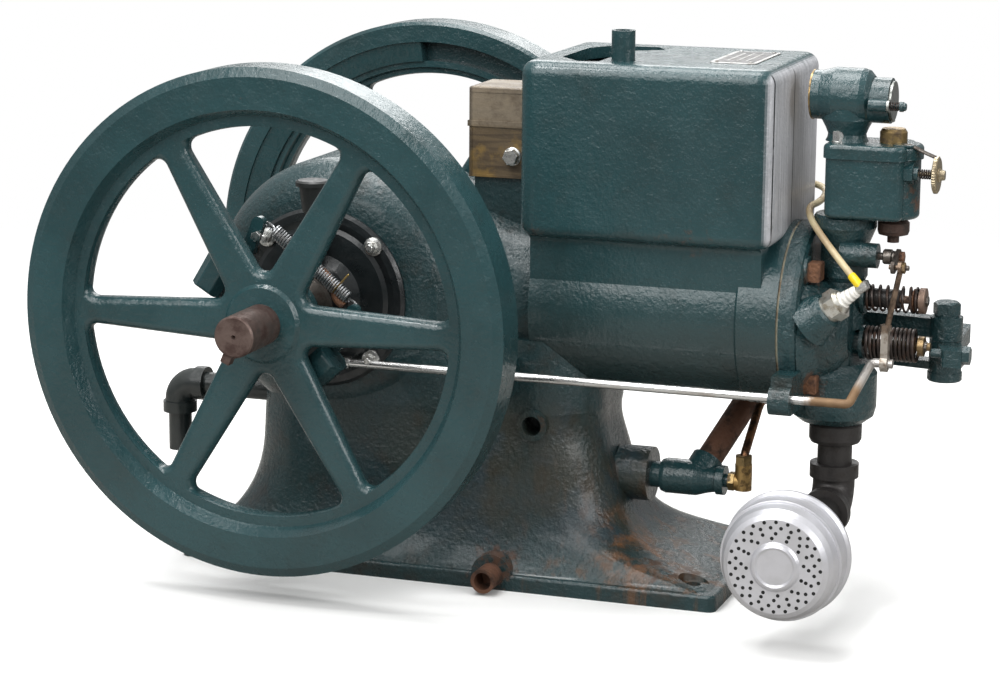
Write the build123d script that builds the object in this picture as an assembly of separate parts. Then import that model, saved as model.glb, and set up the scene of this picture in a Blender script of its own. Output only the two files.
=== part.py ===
from build123d import *
import math
import os

# Hopper-cooled stationary petrol engine, all lengths in millimetres.
# X runs along the cylinder towards the head, Y along the crankshaft away from the governor side,
# Z up. The origin is on the floor, under the crankshaft and in the middle plane of the cylinder.

# Fits and clearances
SEAT_GAP = 0.3
RUNNING_FIT = 0.06
PIN_FIT = 0.1

# Crankshaft and flywheels
CRANK_HEIGHT = 242.0
SHAFT_RADIUS = 17.5
SHAFT_NEAR_END = -272.0
SHAFT_FAR_END = 250.0
WHEEL_RADIUS = 216.0
WHEEL_FACE = 225.0
RIM_WIDTH = 43.0
RIM_LIP_RADIUS = 208.0
RIM_LIP_DROP = 4.0
BAND_INNER_RADIUS = 181.0
WEB_OUTER_RADIUS = 174.5
WEB_INNER_RADIUS = 165.5
WEB_RECESS = 12.0
WEB_THICKNESS = 17.0
RECESS_OUTER_RADIUS = 197.0
RECESS_INNER_RADIUS = 179.0
RECESS_DEPTH = 20.0
COUNTERWEIGHT_START = 93.0
COUNTERWEIGHT_SWEEP = 110.0
SPOKE_COUNT = 6
SPOKE_HALF_AT_HUB = 17.5
SPOKE_HALF_AT_RIM = 11.5
SPOKE_ROOT_RADIUS = 40.0
SPOKE_CORNER = 9.0
SPOKE_ROUND = 7.0
HUB_RADIUS = 34.0
HUB_PROUD = 3.0
HUB_LENGTH = 46.0
KEY_WIDTH = 8.0
KEY_HEIGHT = 7.0
KEY_HEAD_HEIGHT = 11.0
KEY_HEAD_LENGTH = 9.0
KEY_ANGLE = -113.0
KEY_BACK = 3.0
COLLAR_FACE = -132.3
COLLAR_RADIUS = 30.0
COLLAR_THICKNESS = 8.0
SLEEVE_RADIUS = 21.0
WEIGHT_PLACES = ((66.0, 149.0), (56.0, -48.0))
WEIGHT_DEPTH = 27.0
WEIGHT_WIDTH = 33.0
WEIGHT_PIN_ANGLES = (120.0, 0.0)
WEIGHT_PIN_DISTANCE = 62.0
WEIGHT_PIN_RADIUS = 5.0
WEIGHT_NEAR = -192.0
WEIGHT_FAR = -164.0
GOVERNOR_SPRING_RADIUS = 6.5
GOVERNOR_HOOKS = ((-21.0, CRANK_HEIGHT + 78.0), (65.0, CRANK_HEIGHT + 8.0))

# Foot, pedestal and crankcase
FOOT_LEFT = -128.0
FOOT_RIGHT = 367.0
FOOT_HALF_WIDTH = 109.0
FOOT_THICKNESS = 14.0
FOOT_CORNER = 7.0
FOOT_EDGE_ROUND = 3.0
FOOT_HOLE_X = (-106.0, 341.0)
FOOT_HOLE_Y = 80.0
FOOT_HOLE_RADIUS = 6.0
SPOT_FACE_RADIUS = 13.0
DRUM_RADIUS = 119.0
DRUM_HALF_WIDTH = 86.0
DRUM_X = 6.0
DRUM_SHOULDER = 40.0
COVER_RADIUS = 83.0
COVER_THICKNESS = 5.0
COVER_STEP_RADIUS = 60.0
BEARING_BOSS_RADIUS = 30.0
BEARING_BOSS_LENGTH = 21.0
TAP_BOSS_RADIUS = 13.5
TAP_HOLE_RADIUS = 8.5
TAP_BOSS_X = 193.0
TAP_BOSS_HEIGHT = 141.0
TAP_BOSS_FACE = -80.0
FUEL_HEIGHT = 87.5
FUEL_Y = 0.0
FUEL_BOSS_FACE = 280.0
FUEL_BOSS_RADIUS = 24.0
BREATHER_HEIGHT = 134.0
BREATHER_DEPTH = -70.0
PIPE_RADIUS = 10.7
FUEL_NIPPLE_RADIUS = 11.5
PUSH_ROD_HEIGHT = CRANK_HEIGHT - 28.0
PUSH_ROD_START = 92.0
PUSH_GUIDE_START = 86.0
PUSH_GUIDE_END = 134.0
PUSH_GUIDE_RADIUS = 12.0
PEDESTAL_SHOULDER_X = 40.0
# Height, left end, right end, half width at the left, half width at the right, corner radius.
PEDESTAL_LEVELS = (
    (13.0, -124.0, 362.0, 105.0, 104.0, 12.0),
    (22.0, -113.0, 329.0, 98.0, 96.0, 22.0),
    (34.0, -101.0, 293.0, 92.0, 88.0, 34.0),
    (50.0, -90.0, 272.0, 88.0, 81.0, 45.0),
    (71.0, -81.0, 260.0, 86.0, 77.0, 52.0),
    (105.0, -75.0, 250.0, 85.0, 74.5, 55.0),
    (150.0, -72.0, 243.0, 84.0, 73.0, 55.0),
    (215.0, -72.0, 241.0, 84.0, 72.0, 55.0),
)
DRAIN_X = 167.0
DRAIN_HEIGHT = 13.0
DRAIN_PIPE_RADIUS = 10.7
DRAIN_PIPE_END = -131.0
DRAIN_PIPE_START = -85.0
DRAIN_ARCH_RADIUS = 18.0

# Place along X, half width and half height of the throat towards the cylinder.
NECK_SECTIONS = ((40.0, 80.0, 112.0), (105.0, 80.0, 101.0), (154.0, 75.0, 79.0), (188.0, 70.0, 72.0))

# Cylinder and water hopper
JACKET_RADIUS = 78.0
JACKET_START = 188.0
JACKET_END = 406.0
HOPPER_LEFT = 180.0
HOPPER_RIGHT = 401.0
HOPPER_HALF_WIDTH = 88.0
HOPPER_BOTTOM = CRANK_HEIGHT + 66.0
HOPPER_TOP = HOPPER_BOTTOM + 149.5
HOPPER_CORNER = 16.0
HOPPER_TOP_ROUND = 12.0
SADDLE_HALF_WIDTH = 73.0
SADDLE_FLARE = 6.0
HOPPER_WALL = 9.0
HOPPER_DECK = 10.0
CAVITY_FLOOR = HOPPER_BOTTOM + 24.0
STUB_X = 262.0
STUB_Y = -52.0
STUB_RADIUS = 10.0
STUB_TOP = HOPPER_TOP + 25.5
STUB_THREAD_RADIUS = 9.0

# Cylinder head
GASKET_THICKNESS = 2.0
HEAD_RADIUS = 80.0
HEAD_FLANGE = 16.0
PORT_X = 445.0
VALVE_Y = -12.0
INTAKE_HEIGHT = CRANK_HEIGHT + 20.0
EXHAUST_HEIGHT = INTAKE_HEIGHT - 39.0
INTAKE_NECK_RADIUS = 20.0
EXHAUST_CHEST_RADIUS = 34.0
EXHAUST_CHEST_BOTTOM = EXHAUST_HEIGHT - 70.0
CHEST_WIDENING = 6.0
THROTTLE_BOSS_RADIUS = 10.5
THROTTLE_BOSS_END = 480.5
GUIDE_RADIUS = 10.5
GUIDE_END = 468.0
SPRING_SEAT_RADIUS = 14.5
ROD_Y = -98.0
ROD_HEIGHT = CRANK_HEIGHT - 54.0
ROD_RADIUS = 3.8
ROD_LUG_RADIUS = 12.0
STEM_START = 428.0
VALVE_ROOM = 7.0
PLUG_SEAT = (447.0, -62.0, CRANK_HEIGHT + 17.0)
PLUG_DIRECTION = (36.0, -6.0, 27.0)
PLUG_BOSS_RADIUS = 15.5
PLUG_THREAD_RADIUS = 7.0
PLUG_THREAD = 10.0
THROTTLE_Y = -30.0
THROTTLE_HEIGHT = INTAKE_HEIGHT + 39.0
THROTTLE_SHAFT_RADIUS = 3.2
THROTTLE_SHAFT_START = 451.0

# Valve gear
STEM_RADIUS = 3.5
EXHAUST_WIRE = 1.5
INTAKE_WIRE = 1.2
INTAKE_SLEEVE_RADIUS = 7.5
INTAKE_SLEEVE_END = 497.0
EXHAUST_SPRING_RADIUS = 13.0
EXHAUST_SPRING_COILS = 10
INTAKE_SPRING_RADIUS = 10.5
INTAKE_SPRING_COILS = 6
SPRING_LENGTH = 46.0
RETAINER_THICKNESS = 5.0
EXHAUST_RETAINER_RADIUS = 8.5
INTAKE_RETAINER_RADIUS = 11.0
ROCKER_X = 531.0
ROCKER_Y = 20.0
ROCKER_PIN_RADIUS = 6.0
PIN_HEAD_RADIUS = 11.8
PIN_FOOT_RADIUS = 14.8
PIN_FOOT_THICKNESS = 7.5
BRACKET_BOSS_RADIUS = 14.0
BRACKET_UPPER_TOP = EXHAUST_HEIGHT + 21.0
BRACKET_UPPER_BOTTOM = EXHAUST_HEIGHT + 1.0
BRACKET_LOWER_TOP = EXHAUST_HEIGHT - 16.0
BRACKET_LOWER_BOTTOM = EXHAUST_HEIGHT - 27.0
ROCKER_CLEARANCE = 0.4
TAPPET_REACH = 6.0
PUSH_CLEARANCE = 0.3
PUSH_ROD_Y = 92.0
PUSH_ROD_RADIUS = 5.0

# Carburettor
BOWL_LEFT = 435.0
BOWL_RIGHT = 501.0
BOWL_NEAR = -45.0
BOWL_FAR = 11.0
BOWL_BOTTOM = INTAKE_HEIGHT + 70.5
BOWL_TOP = BOWL_BOTTOM + 50.5
LID_OVERHANG = 2.0
LID_THICKNESS = 12.0
BARREL_Y = -17.0
BARREL_HEIGHT = BOWL_TOP + 49.5
BARREL_RADIUS = 23.5
BARREL_START = 418.5
BARREL_END = 470.0
SNOUT_RADIUS = 19.0
SNOUT_END = 485.0
NEEDLE_HEIGHT = BOWL_TOP - 11.0
NEEDLE_Y = -30.0
THUMBWHEEL_RADIUS = 15.2
LEVER_X = 496.0
LEVER_THICKNESS = 3.0
LINK_Y = -50.0
LINK_TOP = THROTTLE_HEIGHT - 5.0
LINK_BOTTOM = LINK_TOP - 82.0
LINK_X = 502.0
LINK_THICKNESS = 3.0
EYE_CLEARANCE = 0.6
CHOKE_PIVOT_Y = -38.0
CHOKE_PIVOT_HEIGHT = BARREL_HEIGHT - 4.5
CHOKE_THICKNESS = 2.0
CHOKE_TAIL = BARREL_HEIGHT - 20.0
DRAIN_CUP_X = 489.0
DRAIN_CUP_RADIUS = 13.4
BOWL_BULGE_X = 489.0
BOWL_BULGE_RADIUS = 22.0
SNOUT_HEIGHT = BARREL_HEIGHT - 2.5
INLET_NECK_X = 448.0
INLET_NECK_RADIUS = 16.0
NEEDLE_GLAND = 9.0
NEEDLE_WHEEL = 24.0
YOKE_X = 490.0
YOKE_THICKNESS = 6.0

# Small fittings and ignition
FUEL_LINE_START = 349.0
FUEL_TUBE_RADIUS = 3.8
FUEL_INLET_HEIGHT = BOWL_BOTTOM + 19.5
FILLER_START = 320.0
FILLER_DIRECTION = (21.2, 45.0, 44.0)
FILLER_SOCKET = 20.0
FILLER_LENGTH = 88.0
BREATHER_BEND = -179.0
BREATHER_END = 70.0
BREATHER_REACH = 28.0
OIL_CUP_Y = -103.5
OIL_CUP_TOP = CRANK_HEIGHT + 106.0
OIL_CUP_SEAT = CRANK_HEIGHT + 24.0
OIL_STEM_RADIUS = 7.0
PLUG_TIP = 40.0
LEAD_RADIUS = 3.0
LEAD_ROUTE = (
    (474.0, -66.6, 281.0),
    (438.5, -43.0, 311.0),
    (414.0, -20.0, 336.0),
    (417.0, 38.0, 334.0),
    (408.0, 94.0, 338.0),
    (365.0, 99.0, 343.0),
    (315.0, 96.0, 346.0),
    (262.0, 97.0, 340.0),
    (212.0, 97.0, 346.0),
    (172.0, 88.0, 366.0),
    (150.0, 50.0, 378.0),
    (150.0, 20.0, 378.0),
)
COIL_LEFT = 119.5
COIL_NEAR = -38.0
COIL_FAR = 20.0
COIL_BOTTOM = CRANK_HEIGHT + 107.0
COIL_LEDGE = COIL_BOTTOM + 44.0
COIL_TOP = COIL_LEDGE + 34.5
COIL_LIP = 5.0
COIL_LIP_PROUD = 1.2
EXHAUST_STEM_END = 524.0
INTAKE_STEM_END = 520.0

# Governor rod
ROD_LEFT = 42.0
ROD_BEND = 474.0
FINGER_TOP = CRANK_HEIGHT - 6.0
FINGER_Y = -127.4

# Exhaust
EXHAUST_PIPE_RADIUS = 14.8
ELBOW_HEIGHT = EXHAUST_CHEST_BOTTOM - 74.0
ELBOW_REACH = 37.0
ELBOW_BODY_RADIUS = 18.0
ELBOW_BAND_RADIUS = 21.0
MUFFLER_REAR = -158.0
MUFFLER_FACE = -219.0
MUFFLER_RADIUS = 49.0
MUFFLER_BEAD_RADIUS = 52.5
MUFFLER_BOSS_RADIUS = 19.6


def rod(radius, start, end):
    """Straight round bar between two points."""
    length = (Vector(*end) - Vector(*start)).length
    plane = Plane(origin=start, z_dir=Vector(*end) - Vector(*start))
    return extrude(plane * Circle(radius), amount=length)


def block(x1, x2, y1, y2, z1, z2):
    """Upright box between six limits."""
    middle = ((x1 + x2) / 2, (y1 + y2) / 2, (z1 + z2) / 2)
    return Pos(*middle) * Box(x2 - x1, y2 - y1, z2 - z1)


def turned(outline, place=(0, 0, 0), direction=(0, 0, 1)):
    """Solid of revolution; each outline point is a radius and a distance along the direction."""
    face = Plane.XZ * make_face(Polyline(*outline, close=True))
    solid = revolve(face, axis=Axis.Z)
    return Plane(origin=place, z_dir=direction).location * solid


def wheel_turned(outline, arc=360.0, start=0.0):
    """Solid turned about the crankshaft; each point is a radius and a Y place."""
    face = make_face(Polyline(*outline, close=True))
    solid = revolve(face, axis=Axis.Y, revolution_arc=arc)
    return Pos(0, 0, CRANK_HEIGHT) * Rot(0, -start, 0) * solid


def coil_spring(mean_radius, wire, coils, length, place, direction):
    """Open coil spring with its axis along the direction, starting at the place."""
    path = Helix(pitch=(length - 2 * wire) / coils, height=length - 2 * wire, radius=mean_radius)
    section = Plane(origin=path @ 0, z_dir=path % 0) * Circle(wire)
    spring = Pos(0, 0, wire) * sweep(section, path=path)
    return Plane(origin=place, z_dir=direction).location * spring


# Flywheels

def spoke_windows(bottom, height):
    """Prisms that cut the openings of the wheel web, leaving tapered spokes."""
    half_angle = math.radians(180.0 / SPOKE_COUNT)
    slope = (SPOKE_HALF_AT_RIM - SPOKE_HALF_AT_HUB) / (WEB_INNER_RADIUS - SPOKE_ROOT_RADIUS)
    apex_x = (SPOKE_HALF_AT_HUB - slope * SPOKE_ROOT_RADIUS) / (math.tan(half_angle) - slope)
    apex = Vector(apex_x, apex_x * math.tan(half_angle))
    far = WEB_INNER_RADIUS * 1.3
    edge_end = Vector(far, SPOKE_HALF_AT_HUB + slope * (far - SPOKE_ROOT_RADIUS))
    mirrored_end = Vector(edge_end.X, -edge_end.Y).rotate(Axis.Z, 360.0 / SPOKE_COUNT)
    triangle = make_face(Polyline(apex, edge_end, mirrored_end, close=True))
    prism = extrude(triangle, amount=height) & extrude(Circle(WEB_INNER_RADIUS), amount=height)
    prism = fillet(prism.edges().filter_by(Axis.Z), SPOKE_CORNER)
    copies = [Rot(0, 0, step * 360.0 / SPOKE_COUNT) * prism for step in range(SPOKE_COUNT)]
    return [Pos(0, 0, bottom) * copy for copy in copies]


def near_flywheel():
    """Flywheel with a stepped rim outside, a recessed rim with counterweight inside."""
    outer = -WHEEL_FACE
    inner = outer + RIM_WIDTH
    web_front = outer + WEB_RECESS
    web_back = web_front + WEB_THICKNESS
    rim = wheel_turned([
        (BAND_INNER_RADIUS, outer),
        (RIM_LIP_RADIUS, outer),
        (WHEEL_RADIUS, outer + RIM_LIP_DROP),
        (WHEEL_RADIUS, inner - 3),
        (WHEEL_RADIUS - 3, inner),
        (RECESS_OUTER_RADIUS, inner),
        (RECESS_OUTER_RADIUS - 3, inner - RECESS_DEPTH),
        (RECESS_INNER_RADIUS, inner - RECESS_DEPTH),
        (RECESS_INNER_RADIUS - 1, web_back + 5),
        (WEB_OUTER_RADIUS - 2, web_back + 5),
        (WEB_OUTER_RADIUS - 4, web_back),
        (WEB_INNER_RADIUS + 1, web_back),
        (WEB_INNER_RADIUS + 1, web_front),
        (WEB_OUTER_RADIUS, web_front),
    ])
    counterweight = wheel_turned([
        (RECESS_INNER_RADIUS - 1, inner - RECESS_DEPTH - 1),
        (RECESS_OUTER_RADIUS - 1, inner - RECESS_DEPTH - 1),
        (RECESS_OUTER_RADIUS + 1, inner - 2),
        (RECESS_INNER_RADIUS - 1, inner - 6),
    ], arc=COUNTERWEIGHT_SWEEP, start=COUNTERWEIGHT_START + COUNTERWEIGHT_SWEEP)
    web = Pos(0, 0, web_front) * extrude(Circle(WEB_INNER_RADIUS + 2), amount=WEB_THICKNESS)
    web -= spoke_windows(web_front - 1, WEB_THICKNESS + 2)
    rims = web.edges().filter_by(GeomType.CIRCLE).filter_by(lambda e: e.radius > WEB_INNER_RADIUS + 1)
    ends = ShapeList(web.edges().group_by(Axis.Z)[0] + web.edges().group_by(Axis.Z)[-1])
    round_edges = ShapeList([edge for edge in ends if edge not in rims])
    web = fillet(round_edges, SPOKE_ROUND)
    # Turn the web from its drawing plane so that its thickness lies along the crankshaft.
    web = Pos(0, 0, CRANK_HEIGHT) * Rot(90, 0, 0) * mirror(web, about=Plane.XY)
    hub_face = web_front - HUB_PROUD
    hub = wheel_turned([
        (SHAFT_RADIUS + 0.01, hub_face),
        (HUB_RADIUS - 3, hub_face),
        (HUB_RADIUS, hub_face + 3),
        (HUB_RADIUS + 9, web_front + 5),
        (HUB_RADIUS + 9, web_back - 3),
        (HUB_RADIUS, web_back + 4),
        (HUB_RADIUS, hub_face + HUB_LENGTH),
        (SHAFT_RADIUS + 0.01, hub_face + HUB_LENGTH),
    ])
    wheel = rim + counterweight + web + hub
    shaft_hole = rod(SHAFT_RADIUS, (0, outer - 20, CRANK_HEIGHT), (0, inner + 40, CRANK_HEIGHT))
    return wheel - shaft_hole - near_key()


def near_key(shaft_end=SHAFT_NEAR_END):
    """Gib key between the shaft and the near wheel, its head by the shaft's end."""
    low = SHAFT_RADIUS - KEY_HEIGHT / 2
    start = shaft_end + KEY_BACK
    end = -WHEEL_FACE + RIM_WIDTH
    bar = block(low, low + KEY_HEIGHT, start, end, -KEY_WIDTH / 2, KEY_WIDTH / 2)
    head = block(low, low + KEY_HEAD_HEIGHT, start, start + KEY_HEAD_LENGTH, -KEY_WIDTH / 2, KEY_WIDTH / 2)
    return Pos(0, 0, CRANK_HEIGHT) * Rot(0, -KEY_ANGLE, 0) * (bar + head)


def far_key():
    """Gib key of the far wheel, on the shorter shaft end."""
    return far_side(near_key(-SHAFT_FAR_END))


def far_side(shape):
    """The same piece on the far side of the engine."""
    return mirror(shape, about=Plane.XZ)


def crankshaft():
    """Straight ends of the crankshaft with chamfers, centre marks and keyways."""
    near, far = SHAFT_NEAR_END, SHAFT_FAR_END
    shaft = wheel_turned([
        (0, near + 4),
        (2, near),
        (SHAFT_RADIUS - 1.5, near),
        (SHAFT_RADIUS, near + 1.5),
        (SHAFT_RADIUS, far - 1.5),
        (SHAFT_RADIUS - 1.5, far),
        (2, far),
        (0, far - 4),
    ])
    return shaft - near_key() - far_key()


def governor_collar():
    """Sliding collar on the shaft that the governor lever bears on."""
    return wheel_turned([
        (SHAFT_RADIUS, COLLAR_FACE),
        (COLLAR_RADIUS, COLLAR_FACE),
        (COLLAR_RADIUS, COLLAR_FACE - COLLAR_THICKNESS),
        (SLEEVE_RADIUS, COLLAR_FACE - COLLAR_THICKNESS - 3),
        (SLEEVE_RADIUS, -166),
        (SHAFT_RADIUS, -166),
    ])


def polar(distance, angle):
    """Point in the plane of the wheels at a distance and angle from the shaft."""
    turn = math.radians(angle)
    return distance * math.cos(turn), CRANK_HEIGHT + distance * math.sin(turn)


def governor_weight(index):
    """Faceted fly weight with its lever and the pin that hangs it on a spoke."""
    distance, angle = WEIGHT_PLACES[index]
    x, z = polar(distance, angle)
    middle = (WEIGHT_NEAR + WEIGHT_FAR) / 2
    mass = Box(WEIGHT_DEPTH, WEIGHT_FAR - WEIGHT_NEAR, WEIGHT_WIDTH)
    mass = chamfer(mass.edges().filter_by(Axis.Z), 7)
    mass = fillet(mass.edges().group_by(Axis.Y)[0], 3)
    mass = Pos(x, middle, z) * Rot(0, -angle, 0) * mass
    pin_x, pin_z = polar(WEIGHT_PIN_DISTANCE, WEIGHT_PIN_ANGLES[index])
    hook_x, hook_z = GOVERNOR_HOOKS[index]
    back = -WHEEL_FACE + WEB_RECESS + WEB_THICKNESS
    pin = rod(WEIGHT_PIN_RADIUS, (pin_x, back, pin_z), (pin_x, WEIGHT_FAR + 2, pin_z))
    lever_near, lever_far = WEIGHT_FAR - 10, WEIGHT_FAR - 3
    lever = Part()
    for start, end in (((x, z), (pin_x, pin_z)), ((pin_x, pin_z), (hook_x, hook_z))):
        length = math.dist(start, end)
        angle = math.degrees(math.atan2(end[1] - start[1], end[0] - start[0]))
        link = extrude(SlotCenterToCenter(length, 11), amount=lever_far - lever_near)
        link = Pos((start[0] + end[0]) / 2, lever_far, (start[1] + end[1]) / 2) * Rot(0, -angle, 0) \
            * Rot(90, 0, 0) * link
        lever += link
    return mass + pin + lever


def governor_spring():
    """Closely wound spring drawn between the tails of the two weights."""
    (x1, z1), (x2, z2) = GOVERNOR_HOOKS
    y = WEIGHT_FAR - 3 + SEAT_GAP
    direction = Vector(x2 - x1, 0, z2 - z1).normalized()
    start = Vector(x1, y, z1)
    end = Vector(x2, y, z2)
    radius = GOVERNOR_SPRING_RADIUS
    offset = Vector(0, radius, 0)
    coil = rod(radius, tuple(start + offset + direction * 12), tuple(end + offset - direction * 12))
    hooks = rod(1.2, tuple(start + offset), tuple(end + offset))
    ends = rod(1.2, tuple(start), tuple(start + offset * 1.25))
    ends += rod(1.2, tuple(end), tuple(end + offset * 1.25))
    return coil + hooks + ends


# Base casting and covers

def pedestal_section(left, right, left_half, right_half, corner):
    """Rounded level outline that narrows towards the cylinder."""
    outline = Polyline(
        (left, -left_half),
        (PEDESTAL_SHOULDER_X, -left_half),
        (right, -right_half),
        (right, right_half),
        (PEDESTAL_SHOULDER_X, left_half),
        (left, left_half),
        close=True,
    )
    face = make_face(outline)
    ends = face.vertices().group_by(Axis.X)
    return fillet(ends[0] + ends[-1], corner)


def pedestal():
    """Flared skirt from rounded level sections and the straight column above it."""
    sections = []
    for height, *limits in PEDESTAL_LEVELS:
        sections.append(Plane.XY.offset(height) * pedestal_section(*limits))
    skirt = loft(Sketch() + sections[:-1])
    column = loft(Sketch() + sections[-2:], ruled=True)
    return skirt + column


def crankcase_drum():
    """Round crankcase with well rounded shoulders."""
    shoulder = DRUM_SHOULDER
    face, half = DRUM_RADIUS - shoulder, DRUM_HALF_WIDTH
    reach = shoulder * math.sqrt(0.5)
    outline = [
        Line((0, -half), (face, -half)),
        ThreePointArc((face, -half), (face + reach, shoulder - half - reach), (DRUM_RADIUS, shoulder - half)),
        Line((DRUM_RADIUS, shoulder - half), (DRUM_RADIUS, half - shoulder)),
        ThreePointArc((DRUM_RADIUS, half - shoulder), (face + reach, half - shoulder + reach), (face, half)),
        Line((face, half), (0, half)),
        Line((0, half), (0, -half)),
    ]
    drum = revolve(make_face(Curve() + outline), axis=Axis.Y)
    return Pos(DRUM_X, 0, CRANK_HEIGHT) * drum


def neck():
    """Throat between the crankcase and the cylinder."""
    sections = []
    for x, half_width, half_height in NECK_SECTIONS:
        plane = Plane(origin=(x, 0, CRANK_HEIGHT), x_dir=(0, 1, 0), z_dir=(1, 0, 0))
        sections.append(plane * Ellipse(half_width, half_height))
    return loft(Sketch() + sections)


def engine_base():
    """Foot, pedestal and crankcase in one casting."""
    foot = block(FOOT_LEFT, FOOT_RIGHT, -FOOT_HALF_WIDTH, FOOT_HALF_WIDTH, 0, FOOT_THICKNESS)
    foot = fillet(foot.edges().filter_by(Axis.Z), FOOT_CORNER)
    foot = fillet(foot.edges().group_by(Axis.Z)[-1], FOOT_EDGE_ROUND)
    base = foot + pedestal() + crankcase_drum() + neck()
    tap_face = (TAP_BOSS_X, TAP_BOSS_FACE, TAP_BOSS_HEIGHT)
    base += rod(TAP_BOSS_RADIUS, tap_face, (TAP_BOSS_X, -60, TAP_BOSS_HEIGHT))
    base += rod(FUEL_BOSS_RADIUS, (250, FUEL_Y, FUEL_HEIGHT), (FUEL_BOSS_FACE, FUEL_Y, FUEL_HEIGHT))
    arch = rod(DRAIN_ARCH_RADIUS, (DRAIN_X, -FOOT_HALF_WIDTH, DRAIN_HEIGHT), (DRAIN_X, -80, DRAIN_HEIGHT))
    base += arch & block(0, 300, -200, 0, 0, 100)
    base += rod_guide()
    base += block(COIL_LEFT + 4, HOPPER_LEFT - SEAT_GAP, COIL_NEAR + 4, COIL_FAR - 2, 300, COIL_BOTTOM)
    guide_start = (PUSH_GUIDE_START, PUSH_ROD_Y, PUSH_ROD_HEIGHT)
    guide_end = (PUSH_GUIDE_END, PUSH_ROD_Y, PUSH_ROD_HEIGHT)
    base += rod(PUSH_GUIDE_RADIUS, guide_start, guide_end)
    base += block(PUSH_GUIDE_START, PUSH_GUIDE_END, 60, PUSH_ROD_Y, PUSH_ROD_HEIGHT - 9, PUSH_ROD_HEIGHT + 9)
    base -= rod(JACKET_RADIUS + SEAT_GAP, (JACKET_START, 0, CRANK_HEIGHT), (JACKET_END, 0, CRANK_HEIGHT))
    base -= block(HOPPER_LEFT - SEAT_GAP, HOPPER_RIGHT, -HOPPER_HALF_WIDTH, HOPPER_HALF_WIDTH,
                  HOPPER_BOTTOM - SEAT_GAP, HOPPER_TOP)
    for side in (-1, 1):
        cover_seat = (0, side * DRUM_HALF_WIDTH, CRANK_HEIGHT)
        base -= rod(COVER_RADIUS + SEAT_GAP, cover_seat, (0, side * (DRUM_HALF_WIDTH + 30), CRANK_HEIGHT))
    # Bores: shaft tunnel, tapped hole, drain, fuel outlet, breather and push rod.
    base -= rod(SHAFT_RADIUS + RUNNING_FIT, (0, -200, CRANK_HEIGHT), (0, 200, CRANK_HEIGHT))
    base -= rod(TAP_HOLE_RADIUS, (TAP_BOSS_X, -100, TAP_BOSS_HEIGHT), (TAP_BOSS_X, -52, TAP_BOSS_HEIGHT))
    for x in FOOT_HOLE_X:
        for y in (-FOOT_HOLE_Y, FOOT_HOLE_Y):
            base -= rod(FOOT_HOLE_RADIUS, (x, y, -1), (x, y, 60))
            base -= rod(SPOT_FACE_RADIUS, (x, y, FOOT_THICKNESS + 1), (x, y, 60))
    base -= rod(DRAIN_PIPE_RADIUS, (DRAIN_X, -150, DRAIN_HEIGHT), (DRAIN_X, DRAIN_PIPE_START, DRAIN_HEIGHT))
    base -= rod(FUEL_NIPPLE_RADIUS, (FUEL_BOSS_FACE - 15, FUEL_Y, FUEL_HEIGHT), (400, FUEL_Y, FUEL_HEIGHT))
    base -= rod(PIPE_RADIUS, (-200, 0, BREATHER_HEIGHT), (BREATHER_DEPTH, 0, BREATHER_HEIGHT))
    base -= rod(PUSH_ROD_RADIUS + PIN_FIT, (PUSH_ROD_START - 2, PUSH_ROD_Y, PUSH_ROD_HEIGHT), guide_end)
    return base


def rod_guide():
    """Upright lug on the near side of the base that steadies the governor rod."""
    lug = block(168, 180, ROD_Y - 7, -60, ROD_HEIGHT - 19, ROD_HEIGHT + 12)
    lug = fillet(lug.edges().group_by(Axis.Y)[0], 3)
    return lug - rod(ROD_RADIUS + PIN_FIT, (160, ROD_Y, ROD_HEIGHT), (190, ROD_Y, ROD_HEIGHT))


def side_cover():
    """Near cover of the crankcase with stepped rings and the main bearing boss."""
    seat = -DRUM_HALF_WIDTH
    front = seat - COVER_THICKNESS
    boss_end = front - BEARING_BOSS_LENGTH
    cover = wheel_turned([
        (SHAFT_RADIUS + RUNNING_FIT, seat),
        (COVER_RADIUS - 4, seat),
        (COVER_RADIUS - 4, seat - 2),
        (COVER_RADIUS - 7, front + 0.5),
        (COVER_RADIUS - 13, front + 0.5),
        (COVER_STEP_RADIUS + 4, front + 2),
        (COVER_STEP_RADIUS, front),
        (BEARING_BOSS_RADIUS + 9, front),
        (BEARING_BOSS_RADIUS, front - 6),
        (BEARING_BOSS_RADIUS, boss_end + 2),
        (BEARING_BOSS_RADIUS - 2, boss_end),
        (SHAFT_RADIUS + RUNNING_FIT, boss_end),
    ])
    return cover - rod(OIL_STEM_RADIUS, (0, OIL_CUP_Y, OIL_CUP_SEAT), (0, OIL_CUP_Y, OIL_CUP_TOP))


# Cylinder, hopper and head

def deck_opening():
    """Angular filling hole in the hopper deck."""
    corners = [
        (206, -45),
        (228, -72),
        (245, -68),
        (246, 20),
        (273, 41),
        (261, 59),
        (218, 54),
        (206, 30),
    ]
    hole = extrude(make_face(Polyline(*corners, close=True)), amount=HOPPER_DECK + 4)
    hole = fillet(hole.edges().filter_by(Axis.Z), 4)
    return Pos(0, 0, HOPPER_TOP - HOPPER_DECK - 2) * hole


def hopper_box(inset, low, high):
    """Rounded upright box that follows the hopper walls at an inset."""
    length = HOPPER_RIGHT - HOPPER_LEFT - 2 * inset
    width = 2 * (HOPPER_HALF_WIDTH - inset)
    outline = RectangleRounded(length, width, HOPPER_CORNER - inset / 2)
    return Pos((HOPPER_LEFT + HOPPER_RIGHT) / 2, 0, low) * extrude(outline, amount=high - low)


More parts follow.
